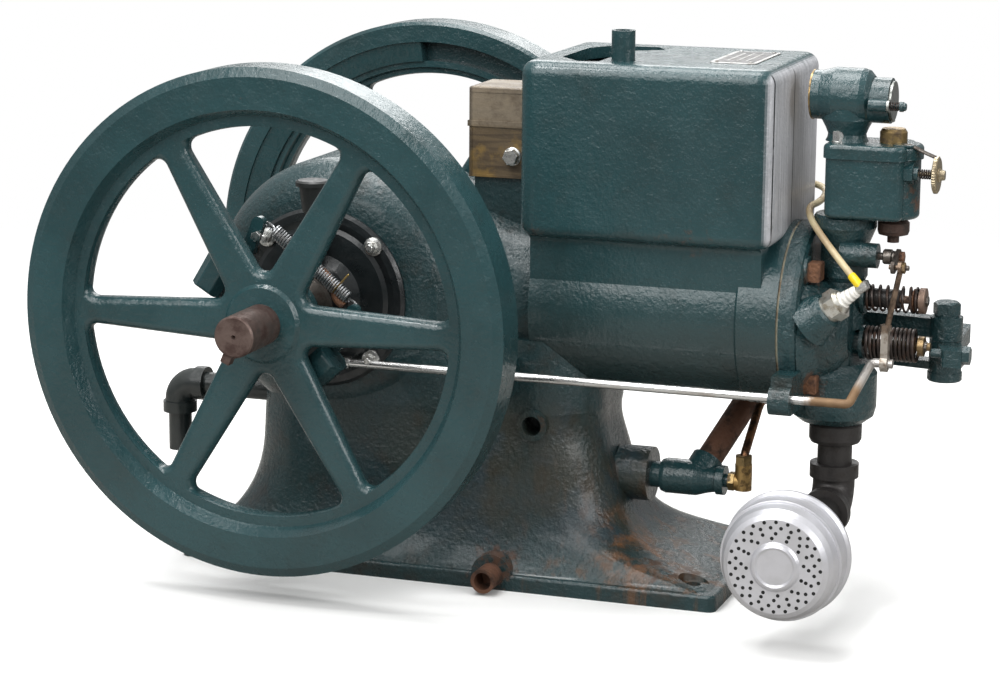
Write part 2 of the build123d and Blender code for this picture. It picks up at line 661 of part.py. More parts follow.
def saddle():
    """Web between the hopper and the jacket, with a hollow rounding under the hopper."""
    wide = SADDLE_HALF_WIDTH + SADDLE_FLARE
    low, high = HOPPER_BOTTOM - SADDLE_FLARE, HOPPER_BOTTOM
    bend = SADDLE_FLARE * (1 - math.sqrt(0.5))
    inner = SADDLE_HALF_WIDTH
    outline = [
        Line((-inner, CRANK_HEIGHT), (-inner, low)),
        ThreePointArc((-inner, low), (-inner - bend, high - bend), (-wide, high)),
        Line((-wide, high), (-wide + 3, high + 8)),
        Line((-wide + 3, high + 8), (wide - 3, high + 8)),
        Line((wide - 3, high + 8), (wide, high)),
        ThreePointArc((wide, high), (inner + bend, high - bend), (inner, low)),
        Line((inner, low), (inner, CRANK_HEIGHT)),
        Line((inner, CRANK_HEIGHT), (-inner, CRANK_HEIGHT)),
    ]
    plane = Plane(origin=(JACKET_START, 0, 0), x_dir=(0, 1, 0), z_dir=(1, 0, 0))
    return extrude(plane * make_face(Curve() + outline), amount=HOPPER_RIGHT - 10 - JACKET_START)


def cylinder_hopper():
    """Cylinder jacket and water hopper in one casting."""
    jacket = turned([
        (0, JACKET_START),
        (JACKET_RADIUS, JACKET_START),
        (JACKET_RADIUS, JACKET_END - 36),
        (JACKET_RADIUS + 2, JACKET_END - 34),
        (JACKET_RADIUS + 2, JACKET_END),
        (0, JACKET_END),
    ], (0, 0, CRANK_HEIGHT), (1, 0, 0))
    hopper = hopper_box(0, HOPPER_BOTTOM, HOPPER_TOP)
    hopper = fillet(hopper.edges().group_by(Axis.Z)[-1], HOPPER_TOP_ROUND)
    bottom = hopper.edges().group_by(Axis.Z)[0]
    hopper = fillet(bottom, HOPPER_TOP_ROUND - 2)
    casting = jacket + hopper + saddle()
    cavity = hopper_box(HOPPER_WALL, CAVITY_FLOOR, HOPPER_TOP - HOPPER_DECK)
    casting -= cavity
    casting -= deck_opening()
    casting -= rod(STUB_THREAD_RADIUS, (STUB_X, STUB_Y, HOPPER_TOP - 6), (STUB_X, STUB_Y, HOPPER_TOP + 20))
    return casting


def head_gasket():
    """Thin gasket between the cylinder and the head."""
    face = JACKET_END + GASKET_THICKNESS
    return rod(HEAD_RADIUS - 2, (JACKET_END, 0, CRANK_HEIGHT), (face, 0, CRANK_HEIGHT))


def cylinder_head():
    """Head casting with intake neck, exhaust chest and both valve guides."""
    face = JACKET_END + GASKET_THICKNESS
    back = face + HEAD_FLANGE
    head = turned([
        (0, 0),
        (HEAD_RADIUS, 0),
        (HEAD_RADIUS, HEAD_FLANGE - 6),
        (HEAD_RADIUS - 2, HEAD_FLANGE - 2),
        (HEAD_RADIUS - 6, HEAD_FLANGE),
        (0, HEAD_FLANGE),
    ], (face, 0, CRANK_HEIGHT), (1, 0, 0))
    chest = turned([
        (0, EXHAUST_CHEST_BOTTOM),
        (EXHAUST_CHEST_RADIUS - 10, EXHAUST_CHEST_BOTTOM),
        (EXHAUST_CHEST_RADIUS - 2, EXHAUST_CHEST_BOTTOM + 6),
        (EXHAUST_CHEST_RADIUS, EXHAUST_CHEST_BOTTOM + 14),
        (EXHAUST_CHEST_RADIUS, EXHAUST_HEIGHT - 27),
        (EXHAUST_CHEST_RADIUS - 8, EXHAUST_HEIGHT - 17),
        (0, EXHAUST_HEIGHT - 17),
    ], (PORT_X, VALVE_Y, 0))
    chest += Pos(-CHEST_WIDENING, 0, 0) * chest
    middle = block(back - 4, PORT_X + 15, -38, 24, EXHAUST_HEIGHT - 35, INTAKE_HEIGHT + 10)
    middle = fillet(middle.edges().filter_by(Axis.Z), 10)
    dome = turned([
        (0, 0),
        (58, 0),
        (54, 5),
        (44, 14),
        (36, 28),
        (24, 36),
        (0, 38),
    ], (back - 1, VALVE_Y - 6, EXHAUST_HEIGHT + 9), (1, 0, 0))
    head += dome & block(face, 600, -200, 200, EXHAUST_CHEST_BOTTOM + 20, BRACKET_UPPER_TOP + 32)
    intake = turned([
        (0, INTAKE_HEIGHT - 27),
        (INTAKE_NECK_RADIUS - 2, INTAKE_HEIGHT - 27),
        (INTAKE_NECK_RADIUS - 2, INTAKE_HEIGHT + 14),
        (INTAKE_NECK_RADIUS, INTAKE_HEIGHT + 18),
        (INTAKE_NECK_RADIUS, BOWL_BOTTOM - 26.5),
        (INTAKE_NECK_RADIUS + 6.5, BOWL_BOTTOM - 10.5),
        (INTAKE_NECK_RADIUS + 6.5, BOWL_BOTTOM - 2),
        (INTAKE_NECK_RADIUS + 5, BOWL_BOTTOM),
        (0, BOWL_BOTTOM),
    ], (PORT_X + 3, VALVE_Y, 0))
    head += chest + middle + intake
    head += rod(THROTTLE_BOSS_RADIUS, (PORT_X + 4, THROTTLE_Y, THROTTLE_HEIGHT),
                (THROTTLE_BOSS_END, THROTTLE_Y, THROTTLE_HEIGHT))
    for height in (INTAKE_HEIGHT, EXHAUST_HEIGHT):
        head += turned([
            (0, 0),
            (GUIDE_RADIUS + 6, 0),
            (GUIDE_RADIUS + 3, 14),
            (GUIDE_RADIUS, 18),
            (GUIDE_RADIUS, 29),
            (SPRING_SEAT_RADIUS, 29),
            (SPRING_SEAT_RADIUS, 32),
            (0, 32),
        ], (GUIDE_END - 32, VALVE_Y, height), (1, 0, 0))
    plug_thread = Vector(*PLUG_SEAT) - Vector(*PLUG_DIRECTION).normalized() * PLUG_THREAD
    head += turned([
        (0, -22),
        (PLUG_BOSS_RADIUS + 7, -22),
        (PLUG_BOSS_RADIUS + 2, -8),
        (PLUG_BOSS_RADIUS, -2),
        (PLUG_BOSS_RADIUS - 2, 0),
        (0, 0),
    ], PLUG_SEAT, PLUG_DIRECTION)
    head -= rod(PLUG_THREAD_RADIUS, tuple(plug_thread), PLUG_SEAT)
    lug_height = ROD_HEIGHT - 2
    lug = block(face, back + 2, ROD_Y, -60, lug_height - ROD_LUG_RADIUS, lug_height + ROD_LUG_RADIUS + 8)
    lug += rod(ROD_LUG_RADIUS, (face, ROD_Y, lug_height), (back + 2, ROD_Y, lug_height))
    head += lug
    head &= block(face, 600, -200, 200, 0, 600)
    # Sleeve that guides the intake stem inside its spring.
    sleeve_end = (INTAKE_SLEEVE_END, VALVE_Y, INTAKE_HEIGHT)
    head += rod(INTAKE_SLEEVE_RADIUS, (GUIDE_END - 2, VALVE_Y, INTAKE_HEIGHT), sleeve_end)
    head -= rod(ROD_RADIUS + PIN_FIT, (face - 1, ROD_Y, ROD_HEIGHT), (back + 10, ROD_Y, ROD_HEIGHT))
    for height in (INTAKE_HEIGHT, EXHAUST_HEIGHT):
        bore_start = (STEM_START - VALVE_ROOM, VALVE_Y, height)
        head -= rod(STEM_RADIUS + PIN_FIT, bore_start, (INTAKE_SLEEVE_END + 1, VALVE_Y, height))
    shaft_start = (THROTTLE_SHAFT_START - 2, THROTTLE_Y, THROTTLE_HEIGHT)
    head -= rod(THROTTLE_SHAFT_RADIUS + PIN_FIT, shaft_start, (LEVER_X, THROTTLE_Y, THROTTLE_HEIGHT))
    head -= rod(EXHAUST_PIPE_RADIUS - 3, (PORT_X, VALVE_Y, EXHAUST_CHEST_BOTTOM - 1),
                (PORT_X, VALVE_Y, EXHAUST_CHEST_BOTTOM + 32))
    head -= block(back, ROCKER_X, ROCKER_Y + 6 - SEAT_GAP, HEAD_RADIUS,
                  BRACKET_LOWER_BOTTOM - SEAT_GAP, BRACKET_UPPER_TOP + SEAT_GAP)
    return head


def rocker_bracket():
    """Two arms from the head that carry the rocker pin."""
    start = JACKET_END + GASKET_THICKNESS + HEAD_FLANGE
    bracket = block(start, start + 8, ROCKER_Y + 6, ROCKER_Y + 46, BRACKET_LOWER_BOTTOM, BRACKET_UPPER_TOP)
    levels = ((BRACKET_UPPER_BOTTOM, BRACKET_UPPER_TOP), (BRACKET_LOWER_BOTTOM, BRACKET_LOWER_TOP))
    for low, high in levels:
        arm = extrude(make_face(Polyline(
            (start, ROCKER_Y + 6),
            (start + 26, ROCKER_Y + 6),
            (ROCKER_X, ROCKER_Y - 8),
            (ROCKER_X, ROCKER_Y + 8),
            (start + 30, ROCKER_Y + 28),
            (start, ROCKER_Y + 46),
            close=True)), amount=high - low - 4)
        bracket += Pos(0, 0, low + 2) * arm
        bracket += rod(BRACKET_BOSS_RADIUS, (ROCKER_X, ROCKER_Y, low), (ROCKER_X, ROCKER_Y, high))
    return bracket - rod(ROCKER_PIN_RADIUS, (ROCKER_X, ROCKER_Y, 0), (ROCKER_X, ROCKER_Y, BRACKET_UPPER_TOP + 5))


def rocker_pin():
    """Bolt through both bracket bosses with its hexagonal head on a washer."""
    return turned([
        (0, BRACKET_LOWER_BOTTOM - PIN_FOOT_THICKNESS),
        (PIN_FOOT_RADIUS - 1, BRACKET_LOWER_BOTTOM - PIN_FOOT_THICKNESS),
        (PIN_FOOT_RADIUS, BRACKET_LOWER_BOTTOM - PIN_FOOT_THICKNESS + 1),
        (PIN_FOOT_RADIUS, BRACKET_LOWER_BOTTOM),
        (ROCKER_PIN_RADIUS, BRACKET_LOWER_BOTTOM),
        (ROCKER_PIN_RADIUS, BRACKET_UPPER_TOP),
        (PIN_HEAD_RADIUS - 1, BRACKET_UPPER_TOP),
        (PIN_HEAD_RADIUS - 1, BRACKET_UPPER_TOP + 3),
        (0, BRACKET_UPPER_TOP + 3),
    ], (ROCKER_X, ROCKER_Y, 0)) + pin_head()


def pin_head():
    """Hexagon of the rocker pin with its corners turned off."""
    base = BRACKET_UPPER_TOP + 2
    hexagon = extrude(RegularPolygon(PIN_HEAD_RADIUS, 6), amount=11)
    cone = turned([(0, 0), (PIN_HEAD_RADIUS, 0), (PIN_HEAD_RADIUS, 9), (PIN_HEAD_RADIUS - 3, 11), (0, 11)])
    return Pos(ROCKER_X, ROCKER_Y, base) * (hexagon & cone)


# Valve gear

def valve(height, retainer_radius, end):
    """Valve stem with its spring retainer."""
    stem = rod(STEM_RADIUS, (STEM_START, VALVE_Y, height), (end, VALVE_Y, height))
    face = GUIDE_END + SPRING_LENGTH
    stem += rod(retainer_radius, (face, VALVE_Y, height), (face + RETAINER_THICKNESS, VALVE_Y, height))
    return stem


def valve_spring(radius, wire, coils, height):
    """Open coil spring around a valve stem."""
    return coil_spring(radius, wire, coils, SPRING_LENGTH, (GUIDE_END, VALVE_Y, height), (1, 0, 0))


def rocker_arm():
    """Two-armed rocker that swings about the upright pin."""
    low = BRACKET_LOWER_TOP + ROCKER_CLEARANCE
    high = BRACKET_UPPER_BOTTOM - ROCKER_CLEARANCE
    hub = rod(BRACKET_BOSS_RADIUS, (ROCKER_X, ROCKER_Y, low), (ROCKER_X, ROCKER_Y, high))
    outline = [
        (ROCKER_X - 9, ROCKER_Y),
        (ROCKER_X + 3, VALVE_Y - 4),
        (ROCKER_X + 5, VALVE_Y - 9),
        (ROCKER_X + 21, VALVE_Y - 9),
        (ROCKER_X + 21, VALVE_Y + 8),
        (ROCKER_X + 11, ROCKER_Y),
        (ROCKER_X + 9, PUSH_ROD_Y - 4),
        (ROCKER_X + 7, PUSH_ROD_Y + 8),
        (ROCKER_X - 7, PUSH_ROD_Y + 8),
        (ROCKER_X - 9, PUSH_ROD_Y - 4),
    ]
    arm = extrude(make_face(Polyline(*outline, close=True)), amount=high - low - 2)
    arm = fillet(arm.edges().filter_by(Axis.Z), 3)
    arm = hub + Pos(0, 0, low + 1) * arm
    height = EXHAUST_HEIGHT - 5
    tappet = rod(4, (ROCKER_X - TAPPET_REACH, VALVE_Y, height), (ROCKER_X + 26, VALVE_Y, height))
    nut = Plane(origin=(ROCKER_X + 21, VALVE_Y, EXHAUST_HEIGHT - 5), z_dir=(1, 0, 0)) * RegularPolygon(8, 6)
    arm += tappet + extrude(nut, amount=6)
    return arm - rod(ROCKER_PIN_RADIUS + PIN_FIT, (ROCKER_X, ROCKER_Y, 0), (ROCKER_X, ROCKER_Y, high + 5))


def push_rod():
    """Push rod that runs from the crankcase to the far rocker arm."""
    end = ROCKER_X - 9 - PUSH_CLEARANCE
    return turned([
        (0, PUSH_ROD_START),
        (PUSH_ROD_RADIUS, PUSH_ROD_START),
        (PUSH_ROD_RADIUS, end - 3),
        (PUSH_ROD_RADIUS - 3, end),
        (0, end),
    ], (0, PUSH_ROD_Y, PUSH_ROD_HEIGHT), (1, 0, 0))


# Carburettor

def bowl_outline(margin):
    """Plan of the fuel bowl: a rounded oblong with a round bulge towards the right."""
    length = BOWL_RIGHT - BOWL_LEFT + 2 * margin
    width = BOWL_FAR - BOWL_NEAR + 2 * margin
    middle = (BOWL_LEFT + BOWL_RIGHT) / 2, (BOWL_NEAR + BOWL_FAR) / 2
    oblong = Pos(*middle) * RectangleRounded(length, width, 8 + margin)
    return oblong + Pos(BOWL_BULGE_X, middle[1]) * Circle(BOWL_BULGE_RADIUS + margin)


def carburettor_bowl():
    """Fuel bowl with its needle gland on the right."""
    bowl = extrude(bowl_outline(0), amount=BOWL_TOP - BOWL_BOTTOM)
    bowl = fillet(bowl.edges().group_by(Axis.Z)[0], 4)
    bowl = Pos(0, 0, BOWL_BOTTOM) * bowl
    gland = Plane(origin=(BOWL_RIGHT - 2, NEEDLE_Y, NEEDLE_HEIGHT), z_dir=(1, 0, 0)) * RegularPolygon(9.5, 6)
    bowl += extrude(gland, amount=NEEDLE_GLAND)
    gland_end = (BOWL_RIGHT + NEEDLE_GLAND + 2, NEEDLE_Y, NEEDLE_HEIGHT)
    bowl += rod(6, (BOWL_RIGHT, NEEDLE_Y, NEEDLE_HEIGHT), gland_end)
    needle_hole = (BOWL_RIGHT - 16, NEEDLE_Y, NEEDLE_HEIGHT)
    return bowl - rod(2 + PIN_FIT, needle_hole, (BOWL_RIGHT + 20, NEEDLE_Y, NEEDLE_HEIGHT))


def carburettor_lid():
    """Cover plate of the fuel bowl with rounded edges."""
    lid = extrude(bowl_outline(LID_OVERHANG), amount=LID_THICKNESS)
    lid = fillet(lid.edges().group_by(Axis.Z)[-1], 4)
    return Pos(0, 0, BOWL_TOP) * lid


def air_inlet():
    """Air barrel on a flared neck, with the lug that carries the choke screw."""
    low = BOWL_TOP + LID_THICKNESS
    inlet = turned([
        (0, low),
        (INLET_NECK_RADIUS + 2, low),
        (INLET_NECK_RADIUS + 0.5, low + 3),
        (INLET_NECK_RADIUS, low + 6),
        (INLET_NECK_RADIUS + 2, low + 11),
        (INLET_NECK_RADIUS + 6, BARREL_HEIGHT - 19),
        (INLET_NECK_RADIUS + 6, BARREL_HEIGHT - 10),
        (0, BARREL_HEIGHT),
    ], (INLET_NECK_X, BARREL_Y, 0))
    inlet += turned([
        (0, BARREL_START),
        (BARREL_RADIUS - 4, BARREL_START),
        (BARREL_RADIUS - 3, BARREL_START + 1),
        (BARREL_RADIUS - 3, BARREL_START + 8),
        (BARREL_RADIUS - 1.5, BARREL_START + 13),
        (BARREL_RADIUS, BARREL_START + 19),
        (BARREL_RADIUS, BARREL_END - 9),
        (BARREL_RADIUS - 1.5, BARREL_END - 4),
        (BARREL_RADIUS - 6, BARREL_END),
        (0, BARREL_END),
    ], (0, BARREL_Y, BARREL_HEIGHT), (1, 0, 0))
    snout_start = (BARREL_END - 14, BARREL_Y, SNOUT_HEIGHT)
    snout_end = (SNOUT_END, BARREL_Y, SNOUT_HEIGHT)
    inlet += rod(SNOUT_RADIUS, snout_start, snout_end)
    pivot = (CHOKE_PIVOT_Y, CHOKE_PIVOT_HEIGHT)
    low_side, high_side = CHOKE_PIVOT_HEIGHT - 5, CHOKE_PIVOT_HEIGHT + 5
    inlet += rod(5, (SNOUT_END - 15, *pivot), (SNOUT_END, *pivot))
    inlet += block(SNOUT_END - 15, SNOUT_END, CHOKE_PIVOT_Y, BARREL_Y - 12, low_side, high_side)
    inlet += rod(2, (SNOUT_END - 5, *pivot), (SNOUT_END + 14, *pivot))
    inlet += rod(4.2, (SNOUT_END + 11, *pivot), (SNOUT_END + 14, *pivot))
    bore_start = (BARREL_START + 8, BARREL_Y, SNOUT_HEIGHT)
    return inlet - rod(SNOUT_RADIUS - 3, bore_start, (SNOUT_END + 1, BARREL_Y, SNOUT_HEIGHT))


def choke_shutter():
    """Disc that swings in front of the air inlet, with a tail to push it by."""
    disc = Pos(BARREL_Y, SNOUT_HEIGHT) * Circle(SNOUT_RADIUS - 2.5)
    ear = Pos(CHOKE_PIVOT_Y, CHOKE_PIVOT_HEIGHT) * Circle(5)
    neck_middle = (BARREL_Y + CHOKE_PIVOT_Y) / 2
    neck_plate = Pos(neck_middle, CHOKE_PIVOT_HEIGHT) * Rectangle(BARREL_Y - CHOKE_PIVOT_Y, 10)
    tail_length = SNOUT_HEIGHT - CHOKE_TAIL
    tail = Pos(BARREL_Y, SNOUT_HEIGHT - tail_length / 2) * Rectangle(8, tail_length)
    hole = Pos(CHOKE_PIVOT_Y, CHOKE_PIVOT_HEIGHT) * Circle(2 + PIN_FIT)
    shape = disc + ear + neck_plate + tail - hole
    plane = Plane(origin=(SNOUT_END + SEAT_GAP, 0, 0), x_dir=(0, 1, 0), z_dir=(1, 0, 0))
    return extrude(plane * shape, amount=CHOKE_THICKNESS)


def needle_valve():
    """Mixture needle with its knurled thumbwheel."""
    wheel = BOWL_RIGHT + NEEDLE_WHEEL
    needle = turned([
        (0, BOWL_RIGHT - 14),
        (2, BOWL_RIGHT - 10),
        (2, wheel),
        (THUMBWHEEL_RADIUS - 1, wheel),
        (THUMBWHEEL_RADIUS, wheel + 1),
        (THUMBWHEEL_RADIUS, wheel + 3),
        (THUMBWHEEL_RADIUS - 1, wheel + 4),
        (5, wheel + 4),
        (4, wheel + 9),
        (0, wheel + 9),
    ], (0, NEEDLE_Y, NEEDLE_HEIGHT), (1, 0, 0))
    return needle


def reservoir_cap():
    """Low brass cap on the bowl cover."""
    return turned([
        (0, 0),
        (11.5, 0),
        (11.5, 9),
        (9.5, 12),
        (0, 12),
    ], (BOWL_RIGHT - 14, BARREL_Y + 2, BOWL_TOP + LID_THICKNESS))


def carburettor_drain():
    """Turned drain cup under the bowl."""
    return turned([
        (0, 0),
        (5, 0),
        (5, 5),
        (DRAIN_CUP_RADIUS - 1, 7),
        (DRAIN_CUP_RADIUS, 10),
        (DRAIN_CUP_RADIUS, 17),
        (DRAIN_CUP_RADIUS - 5, 22),
        (0, 22),
    ], (DRAIN_CUP_X, VALVE_Y, BOWL_BOTTOM - 22))


def throttle_lever():
    """Throttle shaft with the lever that the link pulls."""
    shaft_start = (THROTTLE_SHAFT_START, THROTTLE_Y, THROTTLE_HEIGHT)
    shaft = rod(THROTTLE_SHAFT_RADIUS, shaft_start, (LEVER_X, THROTTLE_Y, THROTTLE_HEIGHT))
    pivot = Pos(THROTTLE_Y, THROTTLE_HEIGHT) * Circle(7)
    tip = Pos(LINK_Y, LINK_TOP) * Circle(5.5)
    shape = make_hull((pivot + tip).edges()) - Pos(LINK_Y, LINK_TOP) * Circle(2 + PIN_FIT)
    plane = Plane(origin=(LEVER_X, 0, 0), x_dir=(0, 1, 0), z_dir=(1, 0, 0))
    return shaft + extrude(plane * shape, amount=LEVER_THICKNESS)


def throttle_link():
    """Link between the governor rod's hook and the throttle lever: top eye, stem, nut and yoke."""
    side = Plane(origin=(LINK_X, 0, 0), x_dir=(0, 1, 0), z_dir=(1, 0, 0))
    top = Pos(LINK_Y, LINK_TOP) * Circle(5.5)
    link = extrude(side * top, amount=LINK_THICKNESS)
    link += rod(2, (LEVER_X - 2, LINK_Y, LINK_TOP), (LINK_X + 4, LINK_Y, LINK_TOP))
    yoke_middle = YOKE_X + YOKE_THICKNESS / 2
    yoke_top = LINK_BOTTOM + 28
    link += rod(2.4, (LINK_X + LINK_THICKNESS / 2, LINK_Y, LINK_TOP - 3), (yoke_middle, LINK_Y, yoke_top - 4))
    nut = Pos(yoke_middle, LINK_Y, yoke_top) * extrude(RegularPolygon(5, 6), amount=5)
    eye = Pos(LINK_Y, LINK_BOTTOM) * Circle(ROD_RADIUS + EYE_CLEARANCE + 2.6)
    bar = Pos(LINK_Y, (yoke_top + LINK_BOTTOM) / 2) * Rectangle(9, yoke_top - LINK_BOTTOM)
    yoke = Plane(origin=(YOKE_X, 0, 0), x_dir=(0, 1, 0), z_dir=(1, 0, 0)) * (eye + bar)
    link += nut + extrude(yoke, amount=YOKE_THICKNESS)
    hole_end = (YOKE_X + YOKE_THICKNESS + 1, LINK_Y, LINK_BOTTOM)
    return link - rod(ROD_RADIUS + EYE_CLEARANCE, (YOKE_X - 1, LINK_Y, LINK_BOTTOM), hole_end)


def governor_rod():
    """Long rod with a finger on the governor collar and a hook for the throttle link."""
    path = FilletPolyline(
        (ROD_LEFT - 20, ROD_Y, ROD_HEIGHT),
        (ROD_BEND, ROD_Y, ROD_HEIGHT),
        (ROD_BEND + 8, LINK_Y, LINK_BOTTOM),
        (YOKE_X + YOKE_THICKNESS + 4, LINK_Y, LINK_BOTTOM),
        radius=4.5,
    )
    bar = sweep(Plane(origin=path @ 0, z_dir=path % 0) * Circle(ROD_RADIUS), path=path)
    hub = rod(ROD_RADIUS + 2, (ROD_LEFT - 26, ROD_Y, ROD_HEIGHT), (ROD_LEFT - 10, ROD_Y, ROD_HEIGHT))
    knee = (ROD_LEFT - 18, FINGER_Y, ROD_HEIGHT + 12)
    arm = rod(4.5, (ROD_LEFT - 18, ROD_Y - 2, ROD_HEIGHT), knee) + Pos(*knee) * Sphere(4.5)
    arm += rod(4.5, knee, (ROD_LEFT - 18, FINGER_Y, FINGER_TOP))
    return bar + hub + arm


# Exhaust, fuel and small fittings

def exhaust_nipple():
    """Threaded coupling and short pipe below the exhaust chest."""
    low = ELBOW_HEIGHT + ELBOW_REACH
    return turned([
        (0, low),
        (EXHAUST_PIPE_RADIUS, low),
        (EXHAUST_PIPE_RADIUS, EXHAUST_CHEST_BOTTOM - 20),
        (21, EXHAUST_CHEST_BOTTOM - 18),
        (22.5, EXHAUST_CHEST_BOTTOM - 15),
        (22.5, EXHAUST_CHEST_BOTTOM - 3),
        (20, EXHAUST_CHEST_BOTTOM),
        (0, EXHAUST_CHEST_BOTTOM),
    ], (PORT_X, VALVE_Y, 0))


def pipe_bend(radius, bend, points):
    """Round pipe along straight runs with a smooth bend."""
    path = FilletPolyline(*points, radius=bend)
    return sweep(Plane(origin=path @ 0, z_dir=path % 0) * Circle(radius), path=path)


def exhaust_elbow():
    """Cast elbow with a band at each mouth."""
    top = ELBOW_HEIGHT + ELBOW_REACH
    mouth = VALVE_Y - ELBOW_REACH
    elbow = pipe_bend(ELBOW_BODY_RADIUS, 22, [
        (PORT_X, VALVE_Y, top),
        (PORT_X, VALVE_Y, ELBOW_HEIGHT),
        (PORT_X, mouth, ELBOW_HEIGHT),
    ])
    elbow += rod(ELBOW_BAND_RADIUS, (PORT_X, VALVE_Y, top - 12), (PORT_X, VALVE_Y, top))
    return elbow + rod(ELBOW_BAND_RADIUS, (PORT_X, mouth, ELBOW_HEIGHT), (PORT_X, mouth + 12, ELBOW_HEIGHT))


def muffler():
    """Drum silencer on its inlet pipe with a raised boss on the open face."""
    mouth = VALVE_Y - ELBOW_REACH
    rear, face = -MUFFLER_REAR, -MUFFLER_FACE
    return turned([
        (0, -mouth),
        (EXHAUST_PIPE_RADIUS, -mouth),
        (EXHAUST_PIPE_RADIUS, rear),
        (MUFFLER_RADIUS - 8, rear),
        (MUFFLER_RADIUS - 2, rear + 3),
        (MUFFLER_RADIUS, rear + 9),
        (MUFFLER_RADIUS, rear + 15),
        (MUFFLER_BEAD_RADIUS, rear + 17),
        (MUFFLER_BEAD_RADIUS, rear + 20),
        (MUFFLER_RADIUS + 1, rear + 22),
        (MUFFLER_RADIUS, rear + 30),
        (MUFFLER_RADIUS - 1, face - 16),
        (MUFFLER_RADIUS - 3, face - 8),
        (MUFFLER_RADIUS - 6, face - 3),
        (MUFFLER_RADIUS - 10, face),
        (MUFFLER_BOSS_RADIUS + 1, face),
        (MUFFLER_BOSS_RADIUS - 1, face + 2),
        (MUFFLER_BOSS_RADIUS - 3, face + 3),
        (MUFFLER_BOSS_RADIUS - 5, face + 2),
        (0, face + 2),
    ], (PORT_X, 0, ELBOW_HEIGHT), (0, -1, 0))


def fuel_fitting():
    """Nipple and branch fitting on the fuel outlet of the base."""
    fitting = turned([
        (0, FUEL_BOSS_FACE - 14),
        (FUEL_NIPPLE_RADIUS, FUEL_BOSS_FACE - 14),
        (FUEL_NIPPLE_RADIUS, FUEL_BOSS_FACE + 9),
        (14, FUEL_BOSS_FACE + 9),
        (15.5, FUEL_BOSS_FACE + 13),
        (15.5, FUEL_BOSS_FACE + 40),
        (12, FUEL_BOSS_FACE + 52),
        (11, FUEL_BOSS_FACE + 58),
        (13, FUEL_BOSS_FACE + 59),
        (13, FUEL_BOSS_FACE + 66),
        (6, FUEL_BOSS_FACE + 66),
        (6, FUEL_LINE_START),
        (0, FUEL_LINE_START),
    ], (0, FUEL_Y, FUEL_HEIGHT), (1, 0, 0))
    start = Vector(FILLER_START, FUEL_Y, FUEL_HEIGHT)
    mouth = start + Vector(*FILLER_DIRECTION).normalized() * FILLER_SOCKET
    return fitting + rod(15, tuple(start), tuple(mouth))


def filler_pipe():
    """Sloping filler pipe with its cap."""
    axis = Vector(*FILLER_DIRECTION).normalized()
    start = Vector(FILLER_START, FUEL_Y, FUEL_HEIGHT) + axis * FILLER_SOCKET
    return turned([
        (0, 0),
        (FUEL_NIPPLE_RADIUS, 0),
        (FUEL_NIPPLE_RADIUS, FILLER_LENGTH - 12),
        (FUEL_NIPPLE_RADIUS + 4, FILLER_LENGTH - 12),
        (FUEL_NIPPLE_RADIUS + 4, FILLER_LENGTH - 2),
        (FUEL_NIPPLE_RADIUS + 2, FILLER_LENGTH),
        (0, FILLER_LENGTH),
    ], tuple(start), tuple(axis))


def fuel_line():
    """Brass elbow on the fitting and the small pipe up to the carburettor."""
    riser = FUEL_LINE_START + 13
    elbow = rod(7, (FUEL_LINE_START, FUEL_Y, FUEL_HEIGHT), (riser, FUEL_Y, FUEL_HEIGHT))
    elbow += rod(7.5, (riser, FUEL_Y, FUEL_HEIGHT - 7), (riser, FUEL_Y, FUEL_HEIGHT + 16))
    tube = pipe_bend(FUEL_TUBE_RADIUS, 9, [
        (riser, FUEL_Y, FUEL_HEIGHT + 10),
        (riser, FUEL_Y + 2, FUEL_HEIGHT + 24),
        (364, 40, 145),
        (372, 80, 184),
        (388, 107, 206),
        (402, 109, 262),
        (422, 100, 322),
        (450, 60, FUEL_INLET_HEIGHT),
        (458, BOWL_FAR + 15, FUEL_INLET_HEIGHT),
        (458, BOWL_FAR, FUEL_INLET_HEIGHT),
    ])
    return elbow + tube


def breather_pipe():
    """Pipe from the left of the base with a cast elbow and a short leg down."""
    leg_end = (BREATHER_BEND, 0, BREATHER_END)
    mouth = BREATHER_BEND + BREATHER_REACH
    throat = BREATHER_HEIGHT - BREATHER_REACH
    pipe = rod(PIPE_RADIUS, (BREATHER_DEPTH, 0, BREATHER_HEIGHT), (mouth - 4, 0, BREATHER_HEIGHT))
    pipe += rod(PIPE_RADIUS, (BREATHER_BEND, 0, throat + 4), leg_end)
    pipe += pipe_bend(PIPE_RADIUS + 3, 17, [
        (mouth, 0, BREATHER_HEIGHT),
        (BREATHER_BEND, 0, BREATHER_HEIGHT),
        (BREATHER_BEND, 0, throat),
    ])
    pipe += rod(PIPE_RADIUS + 5, (mouth - 10, 0, BREATHER_HEIGHT), (mouth, 0, BREATHER_HEIGHT))
    return pipe + rod(PIPE_RADIUS + 5, (BREATHER_BEND, 0, throat + 10), (BREATHER_BEND, 0, throat))


def oil_cup():
    """Oil cup with a low lid on the near main bearing."""
    return turned([
        (0, OIL_CUP_SEAT),
        (OIL_STEM_RADIUS, OIL_CUP_SEAT),
        (OIL_STEM_RADIUS, OIL_CUP_TOP - 30),
        (9.5, OIL_CUP_TOP - 26),
        (12, OIL_CUP_TOP - 5),
        (15, OIL_CUP_TOP - 5),
        (15, OIL_CUP_TOP - 1.5),
        (13, OIL_CUP_TOP),
        (0, OIL_CUP_TOP + 0.8),
    ], (0, OIL_CUP_Y, 0))


